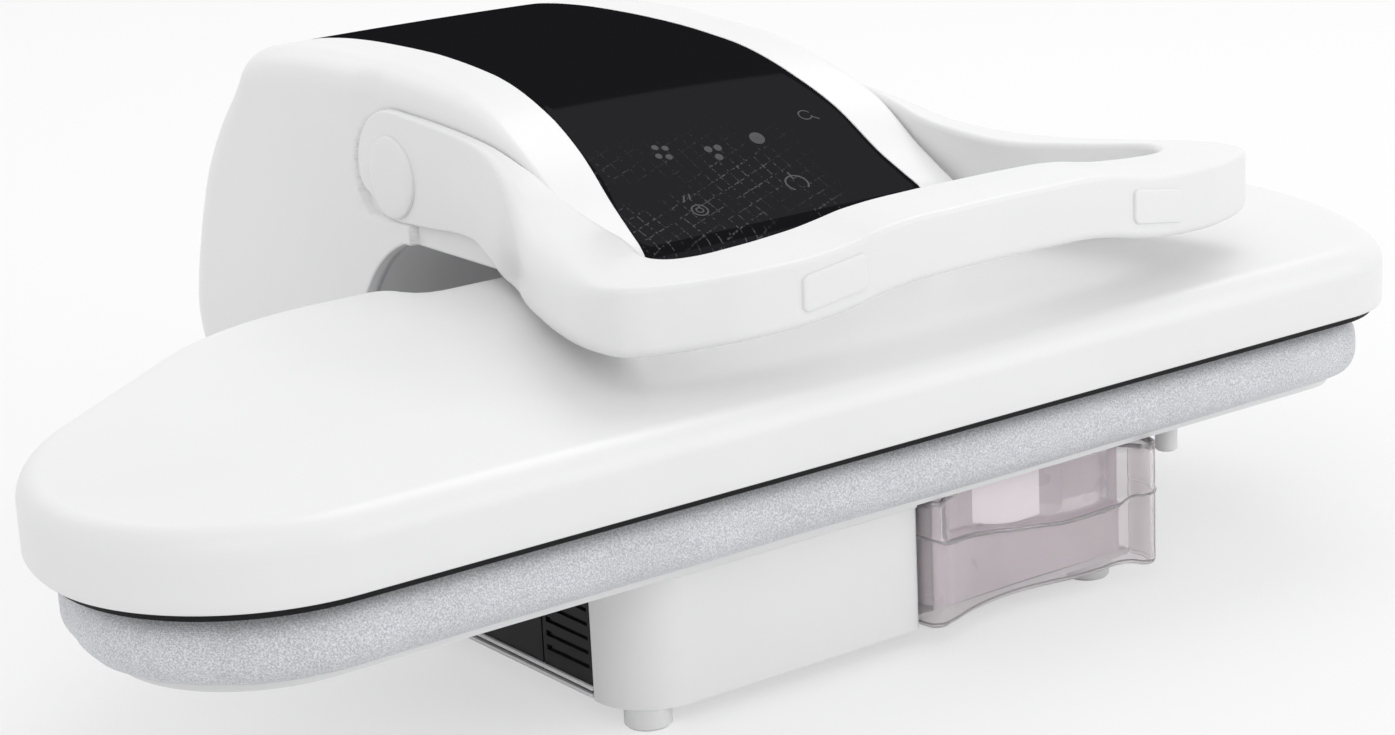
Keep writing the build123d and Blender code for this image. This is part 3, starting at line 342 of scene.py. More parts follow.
def make_finishes(colours):
    """One material for each finish of the press."""
    black = (0.006, 0.006, 0.007)
    white = tuple(colours.white)
    FINISHES.update(
        white_gloss=moulded("white_gloss", white, 0.34, coat=0.08, shine=0.4),
        white_satin=moulded("white_satin", shaded(white, 0.96), 0.42),
        foot_white=moulded("foot_white", shaded(white, 0.92), 0.55, grain=0.00005),
        # grey_cover: a grey darker than the white housings; on the cover under the hood's arch it is partly the part's
        # own light grey and partly painted shade, where the inside of the arch lies in shadow
        grey_cover=moulded("grey_cover", (0.66, 0.66, 0.665), 0.45),
        black_gloss=moulded("black_gloss", black, 0.15, shine=0.15),
        bush_plastic=moulded("bush_plastic", (0.62, 0.61, 0.57), 0.38),
        mark_grey=moulded("mark_grey", (0.060, 0.060, 0.068), 0.35, shine=0.1),
        circuit=moulded("circuit", (0.02, 0.10, 0.045), 0.35),
        dark_panel=dark_glass(tuple(colours.glass)),
        silver_cloth=silver_cloth(tuple(colours.cloth)),
        clear_tank=clear_plastic("clear_tank", tuple(colours.tank), 0.85, 0.05),
        milky_tank=clear_plastic("milky_tank", (0.95, 0.87, 0.91), 0.12, 0.25),
        black_seal=rubber("black_seal", black),
        mat_fibre=fibre("mat_fibre", (0.70, 0.68, 0.60)),
        steel=metal("steel", (0.56, 0.56, 0.58), 0.34),
        plate_metal=metal("plate_metal", (0.70, 0.70, 0.71), 0.42, stretch=(60.0, 8.0, 60.0)),
    )


# Mesh helpers
SAME_POINT = 0.00001


def to_row(point):
    """A point in millimetres from the plate's middle, in metres in the row's frame."""
    return (point[0] * MM, (point[1] + PLATE_Y) * MM, point[2] * MM)


def grid_faces(rows, columns, closed=False):
    """Quads between neighbouring rows of points; closed joins the last column to the first."""
    faces = []
    last = columns if closed else columns - 1
    for i in range(rows - 1):
        for j in range(last):
            k = (j + 1) % columns
            faces.append((i * columns + j, i * columns + k, (i + 1) * columns + k, (i + 1) * columns + j))
    return faces


def add_object(name, data):
    """Links a new object to the scene."""
    made = bpy.data.objects.new(name, data)
    bpy.context.collection.objects.link(made)
    return made


def new_piece(name, points, faces):
    """A smooth mesh object from points in plate millimetres, with its faces turned outwards."""
    mesh = bpy.data.meshes.new(name)
    mesh.from_pydata([to_row(point) for point in points], [], faces)
    work = bmesh.new()
    work.from_mesh(mesh)
    bmesh.ops.remove_doubles(work, verts=work.verts, dist=SAME_POINT)
    bmesh.ops.recalc_face_normals(work, faces=work.faces)
    work.to_mesh(mesh)
    work.free()
    mesh.shade_smooth()
    return add_object(name, mesh)


def tube_of_rings(name, rings):
    """Skin over a row of closed rings, with flat ends."""
    rings = np.asarray(rings, float)
    count, around = rings.shape[:2]
    faces = grid_faces(count, around, closed=True)
    faces.append(tuple(range(around)))
    faces.append(tuple(range((count - 1) * around, count * around)))
    return new_piece(name, rings.reshape(-1, 3), faces)


def sharpen(piece):
    """Keeps creases over 32 degrees crisp and the rest smooth."""
    piece.data.set_sharp_from_angle(angle=math.radians(32.0))


def soften(piece, width, segments, angle):
    """Rounds a piece's hard edges with a live bevel, for edges sharper than an angle in degrees."""
    bevel = piece.modifiers.new("edge", "BEVEL")
    bevel.width = width * MM
    bevel.segments = segments
    bevel.limit_method = "ANGLE"
    bevel.angle_limit = math.radians(angle)
    bevel.harden_normals = False


def thicken(piece, wall):
    """Gives an open shell a wall on its inner side, in metres."""
    solid = piece.modifiers.new("wall", "SOLIDIFY")
    solid.thickness = wall
    solid.offset = -1.0


def dress(piece, body, slot, finish=None, replaced=()):
    """Gives a piece a finish, the slot's own unless another is named, puts it on its body and hides the nodes that it
    stands for.
    """
    piece.data.materials.clear()
    piece.data.materials.append(FINISHES[finish or slot])
    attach(piece, body)
    if replaced:
        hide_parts(*replaced)


def smooth_run(points, step, measured=None):
    """Smooth curve through key points, read off at about equal steps along its first few columns."""
    keys = np.asarray(points, float)
    width = measured or keys.shape[1]
    steps = np.linalg.norm(np.diff(keys[:, :width], axis=0), axis=1)
    mile = np.concatenate([[0.0], np.cumsum(steps)])
    slope = np.gradient(keys, mile, axis=0)
    fine = np.linspace(0.0, mile[-1], max(3, int(mile[-1] / step) + 1))
    k = np.clip(np.searchsorted(mile, fine, side="right") - 1, 0, len(mile) - 2)
    gap = (mile[k + 1] - mile[k])[:, None]
    s = ((fine - mile[k]) / gap[:, 0])[:, None]
    start = (2 * s**3 - 3 * s**2 + 1) * keys[k] + (s**3 - 2 * s**2 + s) * gap * slope[k]
    return start + (3 * s**2 - 2 * s**3) * keys[k + 1] + (s**3 - s**2) * gap * slope[k + 1]


def step_up(value, low, high):
    """0 below low, 1 above high, and smooth between."""
    t = np.clip((np.asarray(value, float) - low) / (high - low), 0.0, 1.0)
    return t * t * (3 - 2 * t)


# The plate's outline
HALF_DEPTH = (PLATE_HIGH.y - PLATE_LOW.y) / 2 / MM
TIP = PLATE_LOW.x / MM
BOW_END = PLATE_HIGH.x / MM


def plate_arcs(notched):
    """Arcs of the plate's outline, anticlockwise: centre, radius and the directions that it faces."""
    corner, shoulder, bow, bow_corner = 79.0, 146.5, 209.0, 48.0
    nose_turn, nose_run = 6.4, 163.6
    slant = math.degrees(math.atan2(HALF_DEPTH - nose_turn, nose_run))
    nose = (HALF_DEPTH + nose_turn - corner) / math.tan(math.radians((90 - slant) / 2))
    shoulder_x = TIP + nose_run + shoulder * math.tan(math.radians(slant / 2))
    bow_x = BOW_END - bow
    end_y = HALF_DEPTH - bow_corner
    end_x = bow_x + math.sqrt((bow - bow_corner) ** 2 - end_y**2)
    turn = math.degrees(math.asin(end_y / (bow - bow_corner)))
    nose_y = nose_turn - (HALF_DEPTH + nose_turn - corner)
    arcs = [
        (TIP + corner, corner - HALF_DEPTH, corner, 180, 270),
        (end_x, -end_y, bow_corner, 270, 360 - turn),
        (bow_x, 0, bow, -turn, turn),
        (end_x, end_y, bow_corner, turn, 90),
    ]
    if notched:
        arcs += notch_arcs()
    arcs += [
        (shoulder_x, HALF_DEPTH - shoulder, shoulder, 90, 90 + slant),
        (TIP + nose, nose_y, nose, 90 + slant, 180),
    ]
    return arcs


def notch_arcs():
    """Arcs of the notch behind the plate that lets the arm's arch through."""
    back, floor, depth, corner, root = 136.3, 129.1, 21.0, 20.0, 7.0
    flare = math.degrees(math.atan2(depth, back - floor))
    reach = corner * math.tan(math.radians(flare / 2))
    seat = root * math.tan(math.radians(flare / 2))
    floor_y = HALF_DEPTH - depth
    return [
        (ARM_X + back + reach, HALF_DEPTH - corner, corner, 90, 90 + flare),
        (ARM_X + floor - seat, floor_y + root, -root, 90 + flare, 90),
        (ARM_X - floor + seat, floor_y + root, -root, 90, 90 - flare),
        (ARM_X - back - reach, HALF_DEPTH - corner, corner, 90 - flare, 90),
    ]


def walk_outline(arcs):
    """Points and outward directions along arcs and the straight runs between them."""
    step, straight, doubled = 2.5, 9.0, 0.02
    places, faces_to = [], []
    for k, (x, y, radius, first, last) in enumerate(arcs):
        sweep = math.radians(last - first)
        parts = max(3, int(abs(sweep * radius) / step))
        for angle in np.radians(np.linspace(first, last, parts + 1)):
            faces_to.append((math.cos(angle), math.sin(angle)))
            places.append((x + radius * math.cos(angle), y + radius * math.sin(angle)))
        after = arcs[(k + 1) % len(arcs)]
        turn = math.radians(after[3])
        goal = (after[0] + after[2] * math.cos(turn), after[1] + after[2] * math.sin(turn))
        run = math.hypot(goal[0] - places[-1][0], goal[1] - places[-1][1])
        begin = places[-1]
        for t in np.linspace(0, 1, int(run / straight) + 2)[1:-1]:
            places.append((begin[0] + (goal[0] - begin[0]) * t, begin[1] + (goal[1] - begin[1]) * t))
            faces_to.append(faces_to[-1])
    places, faces_to = np.array(places), np.array(faces_to)
    apart = np.linalg.norm(places - np.roll(places, 1, axis=0), axis=1) > doubled
    return places[apart], faces_to[apart]


def layered(name, arcs, profile, wave=0.0):
    """Solid whose edge follows a profile of (inset, height) all round an outline."""
    places, outward = walk_outline(arcs)
    along = np.arange(len(places)) / len(places) * math.tau
    wander = np.sin(along * 9 + 1.0) + 0.7 * np.sin(along * 23 + 2.0) + 0.5 * np.sin(along * 41)
    rings = []
    for inset, height in profile:
        shift = -inset + wave * wander
        ring = places + outward * shift[:, None]
        rings.append(np.column_stack([ring, np.full(len(ring), height)]))
    return tube_of_rings(name, rings)


def arc_points(x, y, radius, first, last, parts):
    """Points of an arc between two directions in degrees; in (inset, height) pairs 180 faces out and 90 up."""
    angles = np.radians(np.linspace(first, last, parts + 1))
    return [(x + radius * math.cos(a), y + radius * math.sin(a)) for a in angles]


# Hood: its side view from the front foot over the arch and neck to the barrel round the hinge
HOOD_FRONT, HOOD_BOTTOM = 11.7, 137.8
ARCH_Y, ARCH_Z, ARCH_R = 149.5, 67.0, 75.0
NECK_Y, BARREL_R = 224.5, 53.0
LEAN = math.radians(14.0)
# Half widths: the cheeks, where the handle's root draws them in, and the lip turned in round the arch
CHEEK, HOOD_HALF, LIP_HALF = 103.0, 99.0, 95.8
# Where the handle's root lies in the cheek: its floor, its round end, its front seam and where it fades out
ROOT_FLOOR, ROOT_R, SEAM_Y, ROOT_FADE = 147.4, 31.5, 168.0, (192.0, 216.0)
# The glass: the heights where it begins and ends, how far back its top lies, its gap and the seat's lip
GLASS_LOW, GLASS_END_Z, GLASS_TOP_Y, GLASS_GAP, GLASS_LIP = 145.8, 196.0, 300.0, 0.3, 0.8
CROWN_STEP = 2.2
CROWN_KEYS = [
    (HOOD_FRONT, HOOD_BOTTOM), (12.2, 143.0), (13.3, 149.5), (15.6, 154.6), (19.5, 158.2), (28.0, 163.0),
    (41.0, 170.2), (71.7, 190.4), (102.5, 203.6), (133.2, 212.0), (160.0, 215.4), (187.0, 217.3),
    (231.6, 218.0), (265.0, 217.2), (291.3, 215.3), (312.0, 212.6), (322.5, 210.3), (330.5, 206.0),
    (340.0, 195.6), (361.0, 173.6), (378.0, 150.5), (389.0, 127.6), (397.2, 105.5), (403.3, 85.0),
    (405.4, 75.5), (406.0, 67.8),
]
GLASS_WIDTHS = [(10, 79.0), (40, 74.5), (95, 67.5), (150, 63.4), (200, 62.0), (280, 63.0), (360, 66.0)]
EDGE_ROUNDS = [
    (12, 3.0), (60, 3.0), (72, 3.5), (90, 6.0), (105, 8.6), (133, 11.5), (200, 14.0), (300, 17.0), (345, 22.0),
]


def crown_run():
    """Side view of the hood from its front foot over the crown and round the barrel."""
    crown = smooth_run(CROWN_KEYS, CROWN_STEP)
    turns = np.linspace(0.0, -(math.pi / 2 + LEAN), int(BARREL_R * 1.8 / CROWN_STEP))
    barrel = np.column_stack([HINGE_Y + BARREL_R * np.cos(turns), HINGE_Z + BARREL_R * np.sin(turns)])
    return np.vstack([crown, barrel[1:]])


def belly_run(count):
    """Lower edge of the hood: flat underside, arch, neck and the lean down to the barrel."""
    start = math.asin((HOOD_BOTTOM - ARCH_Z) / ARCH_R)
    arch = [(ARCH_Y + ARCH_R * math.cos(a), ARCH_Z + ARCH_R * math.sin(a)) for a in np.linspace(start, 0.0, 40)]
    low = (HINGE_Y - BARREL_R * math.sin(LEAN), HINGE_Z - BARREL_R * math.cos(LEAN))
    foot = (NECK_Y, low[1] + (low[0] - NECK_Y) * math.tan(LEAN))
    path = np.array([(HOOD_FRONT, HOOD_BOTTOM), *arch, foot, low])
    mile = np.concatenate([[0.0], np.cumsum(np.linalg.norm(np.diff(path, axis=0), axis=1))])
    fine = np.linspace(0, mile[-1], count)
    return np.column_stack([np.interp(fine, mile, path[:, 0]), np.interp(fine, mile, path[:, 1])])


def outward_of(run):
    """Unit directions away from the hood along its side view."""
    slope = np.gradient(run, axis=0)
    slope /= np.linalg.norm(slope, axis=1)[:, None]
    return np.column_stack([-slope[:, 1], slope[:, 0]])


def glass_half(y):
    """Half the glass's width at a depth."""
    keys = np.array(GLASS_WIDTHS, float)
    return np.interp(y, keys[:, 0], keys[:, 1])


def under_glass(run):
    """Which stations of the crown the glass covers."""
    return (run[:, 1] > GLASS_LOW) & ((run[:, 0] < GLASS_TOP_Y) | (run[:, 1] > GLASS_END_Z))


def cheek_half(y, z):
    """Half the hood's width on its cheek: drawn in where the handle's root lies."""
    seam = 0.6
    above = 1.0 - step_up(y, *ROOT_FADE)
    low_front = 1.0 - step_up(y, SEAM_Y - seam, SEAM_Y + seam)
    reach = np.hypot(y - GRIP_Y, z - GRIP_Z)
    round_root = 1.0 - step_up(reach, ROOT_R + seam, ROOT_R + 3 * seam)
    over_floor = step_up(z, ROOT_FLOOR - seam, ROOT_FLOOR + seam)
    drawn = np.maximum(low_front, over_floor * np.maximum(above, round_root))
    return CHEEK - (CHEEK - HOOD_HALF) * drawn


def crown_drop(x):
    """How far the crown, bowed from side to side, falls away: 1 mm at the cheeks."""
    return (x / CHEEK) ** 2


def hood_piece(sizes):
    """The whole hood: crown with the glass's seat, rounded edges and cheeks down to the arch and neck."""
    run = crown_run()
    normal = outward_of(run)
    belly = belly_run(len(run))
    steps = np.linalg.norm(np.diff(run, axis=0), axis=1)
    left = np.append(np.cumsum(steps[::-1])[::-1], 0.0)
    # The edge's rounding dies away along the barrel, and never reaches the middle of the cheek.
    wedge = np.minimum(0.3 * left**2 / BARREL_R, 0.45 * np.linalg.norm(run - belly, axis=1))
    keys = np.array(EDGE_ROUNDS, float)
    radius = np.minimum(np.interp(run[:, 0], keys[:, 0], keys[:, 1]), wedge)
    seat = under_glass(run) * (sizes.glass_groove / MM)
    half = glass_half(run[:, 0])
    edge = run - normal * radius[:, None]
    wide = cheek_half(edge[:, 0], edge[:, 1])
    columns = []

    def column(x, depth):
        sink = depth + crown_drop(x)
        columns.append(np.column_stack([x, run - normal * sink[:, None]]))

    for share in np.linspace(0.0, 1.0, 10):
        column((half + GLASS_GAP) * share, seat)
    column(half + GLASS_GAP + 0.04, 0.0)
    for share in (0.0, 0.2, 0.45, 0.7, 0.9):
        column(half + GLASS_LIP + (wide - radius - half - GLASS_LIP) * share, 0.0)
    for angle in np.linspace(0.0, math.pi / 2, 10):
        x = wide - radius + radius * math.sin(angle)
        column(x, (radius - crown_drop(x)) * (1 - math.cos(angle)))
    for share in np.linspace(0.0, 1.0, 64)[1:]:  # the cheek, in steps fine enough for the root's seam
        place = edge + (belly - edge) * share
        columns.append(np.column_stack([cheek_half(place[:, 0], place[:, 1]), place]))
    outer = cheek_half(belly[:, 0], belly[:, 1])
    for share in (0.08, 0.5, 1.0):
        columns.append(np.column_stack([outer - (outer - LIP_HALF) * share, belly]))
    side = np.stack(columns, axis=1)
    other = side[:, :0:-1] * np.array([-1.0, 1.0, 1.0])
    whole = np.concatenate([other, side], axis=1) + np.array([ARM_X, 0.0, 0.0])
    piece = new_piece("hood", whole.reshape(-1, 3), grid_faces(*whole.shape[:2]))
    orient_open_shell(piece, Vector(to_row((ARM_X, 250.0, 150.0))))
    thicken(piece, sizes.hood_wall)
    return piece


def orient_open_shell(piece, inside):
    """Turns all faces of an open shell away from a point inside it, given in metres."""
    work = bmesh.new()
    work.from_mesh(piece.data)
    outward = sum(1 if f.normal.dot(f.calc_center_median() - inside) > 0 else -1 for f in work.faces)
    if outward < 0:
        bmesh.ops.reverse_faces(work, faces=work.faces)
    work.to_mesh(piece.data)
    work.free()


def glass_strip():
    """Stations of the crown that the glass covers, with their outward directions."""
    run = crown_run()
    covered = under_glass(run)
    return run[covered], outward_of(run)[covered]


def glass_piece(sizes):
    """Dark glass laid into the crown, turned down over its rear corner."""
    run, normal = glass_strip()
    half = glass_half(run[:, 0])
    columns = []
    for share in np.linspace(-1.0, 1.0, 33):
        x = half * share
        sink = crown_drop(x)
        columns.append(np.column_stack([x + ARM_X, run - normal * sink[:, None]]))
    sheet = np.stack(columns, axis=1)
    piece = new_piece("touch_glass", sheet.reshape(-1, 3), grid_faces(*sheet.shape[:2]))
    orient_open_shell(piece, Vector(to_row((ARM_X, 200.0, 120.0))))
    thicken(piece, sizes.glass_groove * 0.9)
    soften(piece, 0.35, 2, 50.0)
    return piece


# Touch marks: how far they stand proud, their depth against their width, and the glass's stations that hold them
MARK_LIFT, MARK_SQUASH, MARK_STATIONS = 0.06, 0.82, 40


def on_glass(x, y):
    """A point on the glass above a place in plan."""
    run, normal = glass_strip()
    ahead = run[:MARK_STATIONS, 0]
    z, lean_y, lean_z = (
        np.interp(y, ahead, values[:MARK_STATIONS]) for values in (run[:, 1], normal[:, 0], normal[:, 1])
    )
    sink = crown_drop(x) - MARK_LIFT
    return (ARM_X + x, y - lean_y * sink, z - lean_z * sink)


def mark_ring(x, y, radius, width, first=0.0, last=360.0, parts=36):
    """Part of a flat ring on the glass, as points and faces."""
    angles = np.radians(np.linspace(first, last, parts + 1))
    points = []
    for r in (radius, radius - width):
        points += [on_glass(x + r * math.cos(a), y + MARK_SQUASH * r * math.sin(a)) for a in angles]
    return points, grid_faces(2, parts + 1)


def mark_bar(x, y, length, width, turn):
    """A short stroke on the glass."""
    c, s = math.cos(math.radians(turn)), math.sin(math.radians(turn))
    corners = [(-length / 2, -width / 2), (length / 2, -width / 2), (length / 2, width / 2), (-length / 2, width / 2)]
    return [on_glass(x + a * c - b * s, y + MARK_SQUASH * (a * s + b * c)) for a, b in corners], [(0, 1, 2, 3)]


def mark_petals(x, y, count, reach, size):
    """Round dots set in a ring, as on a fan or a cloud key."""
    made = []
    for k in range(count):
        angle = math.tau * k / count + 0.5
        made.append(mark_ring(x + reach * math.cos(angle), y + reach * math.sin(angle), size, size * 0.98, parts=16))
    return made


# Handle: half width and depth of the outer line, the same of the inner line, then heights and edge radii
HANDLE_KEYS = [
    # outer h, y, inner h, y, low outer, top outer, low inner, top inner, top radius, low radius
    (103.0, 211.4, 99.7, 211.4, 166.2, 173.6, 166.2, 173.9, 1.2, 1.2),
    (103.0, 208.0, 99.7, 208.0, 160.8, 183.0, 160.8, 183.3, 1.3, 1.3),
    (103.2, 202.0, 99.7, 202.0, 157.3, 190.8, 157.3, 191.1, 1.4, 1.4),
    (103.3, 192.0, 99.7, 192.0, 151.5, 197.2, 151.5, 197.5, 1.5, 1.5),
    (103.3, 186.0, 99.7, 186.0, 148.4, 198.8, 148.4, 199.1, 1.5, 1.5),
    (103.3, 180.0, 99.7, 180.0, 147.6, 199.4, 147.6, 199.8, 1.6, 1.5),
    (103.3, 168.0, 99.7, 168.0, 147.8, 199.0, 147.8, 199.5, 1.7, 1.6),
    (103.4, 150.0, 99.7, 150.0, 148.4, 198.2, 148.4, 198.8, 1.9, 1.8),
    (103.8, 125.0, 99.7, 125.0, 150.0, 196.4, 150.0, 197.2, 2.3, 2.0),
    (104.5, 110.0, 99.7, 110.0, 148.8, 194.9, 148.8, 195.8, 2.8, 2.4),
    (106.0, 98.0, 99.7, 98.0, 143.8, 193.2, 143.8, 194.4, 3.5, 3.0),
    (109.4, 84.0, 99.7, 84.0, 139.0, 190.4, 139.0, 191.9, 4.6, 4.0),
    (116.2, 65.5, 99.9, 65.5, 138.0, 186.0, 138.0, 187.7, 7.5, 6.5),
    (124.6, 47.0, 101.2, 47.0, 137.6, 180.6, 137.6, 182.4, 11.0, 9.5),
    (136.4, 24.5, 104.6, 24.5, 137.8, 176.6, 137.8, 178.6, 14.0, 12.0),
    (148.6, -4.0, 110.6, -4.0, 138.8, 175.0, 139.8, 176.6, 15.0, 14.0),
    (157.6, -27.5, 118.5, -27.5, 140.4, 175.6, 141.8, 177.8, 14.0, 14.0),
    (166.0, -53.0, 129.5, -52.0, 143.2, 176.8, 146.0, 179.4, 11.0, 13.0),
    (169.4, -66.0, 133.6, -60.0, 145.2, 177.4, 149.0, 180.0, 9.0, 11.5),
    (171.4, -78.0, 135.6, -66.5, 147.2, 177.6, 151.5, 180.2, 6.5, 9.5),
    (171.6, -87.0, 135.8, -72.0, 148.4, 177.6, 153.0, 180.2, 4.8, 7.5),
    (169.6, -94.0, 133.6, -76.5, 149.0, 177.6, 154.0, 180.2, 3.8, 6.0),
    (163.6, -99.6, 130.4, -79.6, 149.4, 177.8, 154.4, 180.3, 3.2, 5.2),
    (154.0, -104.9, 125.0, -82.0, 149.8, 178.0, 154.8, 180.5, 2.6, 4.8),
    (141.0, -111.0, 117.6, -83.9, 150.6, 178.5, 155.0, 181.0, 2.4, 4.6),
    (128.0, -116.8, 109.2, -85.6, 151.8, 179.6, 155.8, 181.9, 2.2, 4.4),
    (115.0, -119.8, 100.0, -87.0, 152.7, 180.3, 156.8, 182.8, 2.2, 4.2),
    (102.5, -122.2, 91.0, -88.0, 153.8, 181.1, 158.0, 183.8, 2.2, 4.0),
    (90.0, -123.5, 80.7, -88.9, 155.2, 182.2, 159.3, 185.0, 2.2, 4.0),
    (77.0, -124.4, 70.0, -89.6, 157.2, 184.0, 161.0, 186.8, 2.2, 4.0),
    (64.0, -125.3, 59.0, -90.1, 160.0, 186.9, 163.4, 188.8, 2.2, 4.0),
    (51.0, -126.0, 47.5, -90.6, 162.0, 188.7, 165.0, 190.0, 2.2, 4.0),
    (25.0, -127.0, 23.5, -91.0, 163.3, 189.6, 166.2, 190.8, 2.2, 4.0),
    (0.0, -127.1, 0.0, -91.1, 163.6, 189.9, 166.4, 191.0, 2.2, 4.0),
]


def section_ring(key, way):
    """Closed outline of the handle at one place; way is 1 on the right and -1 on the left."""
    outer = np.array(key[:2])
    inner = np.array(key[2:4])
    low_out, top_out, low_in, top_in, r_top, r_low = key[4:]
    wide = float(np.linalg.norm(outer - inner))
    tall = min(top_out - low_out, top_in - low_in)
    fit = min(1.0, 0.47 * tall / max(r_top, r_low))
    top, low = (min(radius * fit, 0.72 * wide) for radius in (r_top, r_low))
    near = min(3.2, 0.25 * wide, 0.4 * tall)
    corners = [
        (near, low_in + near, near, 180, 270), (wide - low, low_out + low, low, 270, 360),
        (wide - top, top_out - top, top, 0, 90), (near, top_in - near, near, 90, 180),
    ]
    ring = []
    for across, height, radius, first, last in corners:
        for angle in np.radians(np.linspace(first, last, 9)):
            share = (across + radius * math.cos(angle)) / wide
            spot = inner + (outer - inner) * share
            ring.append((ARM_X + way * spot[0], spot[1], height + radius * math.sin(angle)))
    return ring


def handle_piece():
    """Stirrup handle: one skin from root to root, smooth on its arms and crisp along its bar."""
    keys = smooth_run(HANDLE_KEYS, 2.4, measured=4)
    right = [section_ring(key, 1) for key in keys]
    left = [section_ring(key, -1) for key in keys[-2::-1]]
    return tube_of_rings("handle", right + left)


def bar_front(h):
    """Depth of the bar's front face at a distance from its middle."""
    line = np.array([(key[0], key[1]) for key in reversed(HANDLE_KEYS[-12:])])
    return float(np.interp(abs(h), line[:, 0], line[:, 1]))


def rounded_box(half_a, half_b, corner, parts=6):
    """Outline of a rounded rectangle about the origin."""
    points = []
    for a, b, first in ((1, 1, 0), (-1, 1, 90), (-1, -1, 180), (1, -1, 270)):
        for angle in np.radians(np.linspace(first, first + 90, parts + 1)):
            across, up = corner * math.cos(angle), corner * math.sin(angle)
            points.append((a * (half_a - corner) + across, b * (half_b - corner) + up))
    return points


def grip_pad(name, way):
    """Soft-edged pad let into the front of the bar."""
    middle, height, slope = 87.0, 169.8, -0.165
    rings = []
    for inset, proud in ((0.0, -2.0), (0.0, 0.7), (0.2, 1.05), (0.6, 1.25), (1.6, 1.3)):
        ring = []
        for a, b in rounded_box(14.9 - inset, 7.4 - inset, 2.6 - 0.5 * inset):
            h = middle + a
            tilt = (h - middle) * slope
            ring.append((ARM_X + way * h, bar_front(h) - proud, height + tilt + b))
        rings.append(ring)
    return tube_of_rings(name, rings)


def turned(name, profile, centre, way, parts=64):
    """Piece turned from (radius, reach) pairs about an axis along X; way is 1 to the right and -1 to the left."""
    rings = []
    for radius, reach in profile:
        angles = np.linspace(0, math.tau, parts, endpoint=False)
        x = centre[0] + way * reach
        rings.append([(x, centre[1] + radius * math.cos(a), centre[2] + radius * math.sin(a)) for a in angles])
    return tube_of_rings(name, rings)


# Tank: its front in plan, and the height of the step across it
TANK_FRONT = [
    (27.5, -99.0), (27.5, -108.0), (28.6, -112.6), (32.0, -115.0), (40.0, -113.6), (52.0, -109.6), (66.0, -106.6),
    (82.0, -105.6), (98.0, -107.4), (112.0, -109.8), (126.0, -110.6), (138.0, -110.4), (142.5, -112.6),
    (145.0, -117.2), (148.4, -118.8), (152.0, -117.6), (154.8, -113.0), (155.0, -99.0),
]
SMILE = [
    (24, 50.0), (36, 45.5), (51, 43.5), (66, 41.0), (81, 38.3), (105, 36.0), (126, 36.6), (138, 36.8), (144, 41.3),
    (158, 43.5),
]


def tank_front_piece(sizes):
    """Clear front of the tank: a waved face with a finger scoop over its smiling step."""
    foot_top, scoop = 11.0, 4.4
    plan = smooth_run(TANK_FRONT, 1.6)
    smile = np.array(SMILE, float)
    step = np.interp(plan[:, 0], smile[:, 0], smile[:, 1])
    turn = outward_of(plan)
    inside = step_up(plan[:, 0], 33.0, 44.0) * (1 - step_up(plan[:, 0], 134.0, 142.0))
    rows = []

    def row(inset, height):
        shift = inset * np.ones(len(plan))
        rows.append(np.column_stack([plan + turn * shift[:, None], height * np.ones(len(plan))]))

    for height, inset in ((9.4, 2.6), (9.0, 1.2), (9.6, 0.4), (foot_top, 0.0)):
        row(inset, height)
    for share in np.linspace(0.1, 0.9, 10):
        row(0.0, foot_top + (step - foot_top) * share)
    for lift, inset in ((-1.6, 0.0), (-0.8, -0.5), (0.0, -0.7), (0.7, -0.2), (1.4, 1.2), (2.4, 3.0), (4.0, scoop)):
        row(inset * inside if inset > 0 else inset, step + lift)
    for height in (50.0, 53.0, 57.0, 60.0, 64.0):
        row(scoop * inside, np.maximum(height, step + 4.0 + (height - 49.0) * 0.1))
    skin = np.stack(rows, axis=0)
    piece = new_piece("tank_front", skin.reshape(-1, 3), grid_faces(*skin.shape[:2]))
    orient_open_shell(piece, Vector(to_row((91.0, -60.0, 30.0))))
    thicken(piece, sizes.tank_wall)
    return piece


def tank_body_piece():
    """Milky water box behind the tank's clear front."""
    low, high, middle_x, middle_y = 13.0, 57.0, 89.5, -49.0
    rings = []
    for inset, height in ((3.0, low), (0.8, low + 0.6), (0.0, low + 3.0), (0.0, high)):
        outline = rounded_box(53.0 - inset, 53.5 - inset, 6.0)
        rings.append([(middle_x + a, middle_y + b, height) for a, b in outline])
    return tube_of_rings("tank_body", rings)


def tank_screen():
    """Milky wall behind the tank's clear front."""
    middle_z = 38.0
    plan = smooth_run([(37.0, -103.2), (60.0, -102.2), (90.0, -101.8), (120.0, -102.6), (142.0, -103.2)], 4.0)
    section = rounded_box(1.0, 25.0, 0.9, 3)
    return tube_of_rings("tank_screen", [[(x, y + a, middle_z + b) for a, b in section] for x, y in plan])


def strip_along(name, path, section):
    """Moulded strip: a section of (out, up) pairs carried along a level path of (x, y) points."""
    path = np.asarray(path, float)
    side = outward_of(path)
    rings = [[(*(spot - outward * out), up) for out, up in section] for spot, outward in zip(path, side)]
    return tube_of_rings(name, rings)


# Screws under the base: their places in plan, the height of their heads and how thick they are, in metres
SCREW_SPOTS = [
    (-90, -60), (0, -80), (-90, 60), (10, 60), (120, 60), (210, 120), (210, 330), (-90, 330), (61, 200), (61, 380),
]
SCREW_Z = 8.3
HEAD_HEIGHT = 0.0012


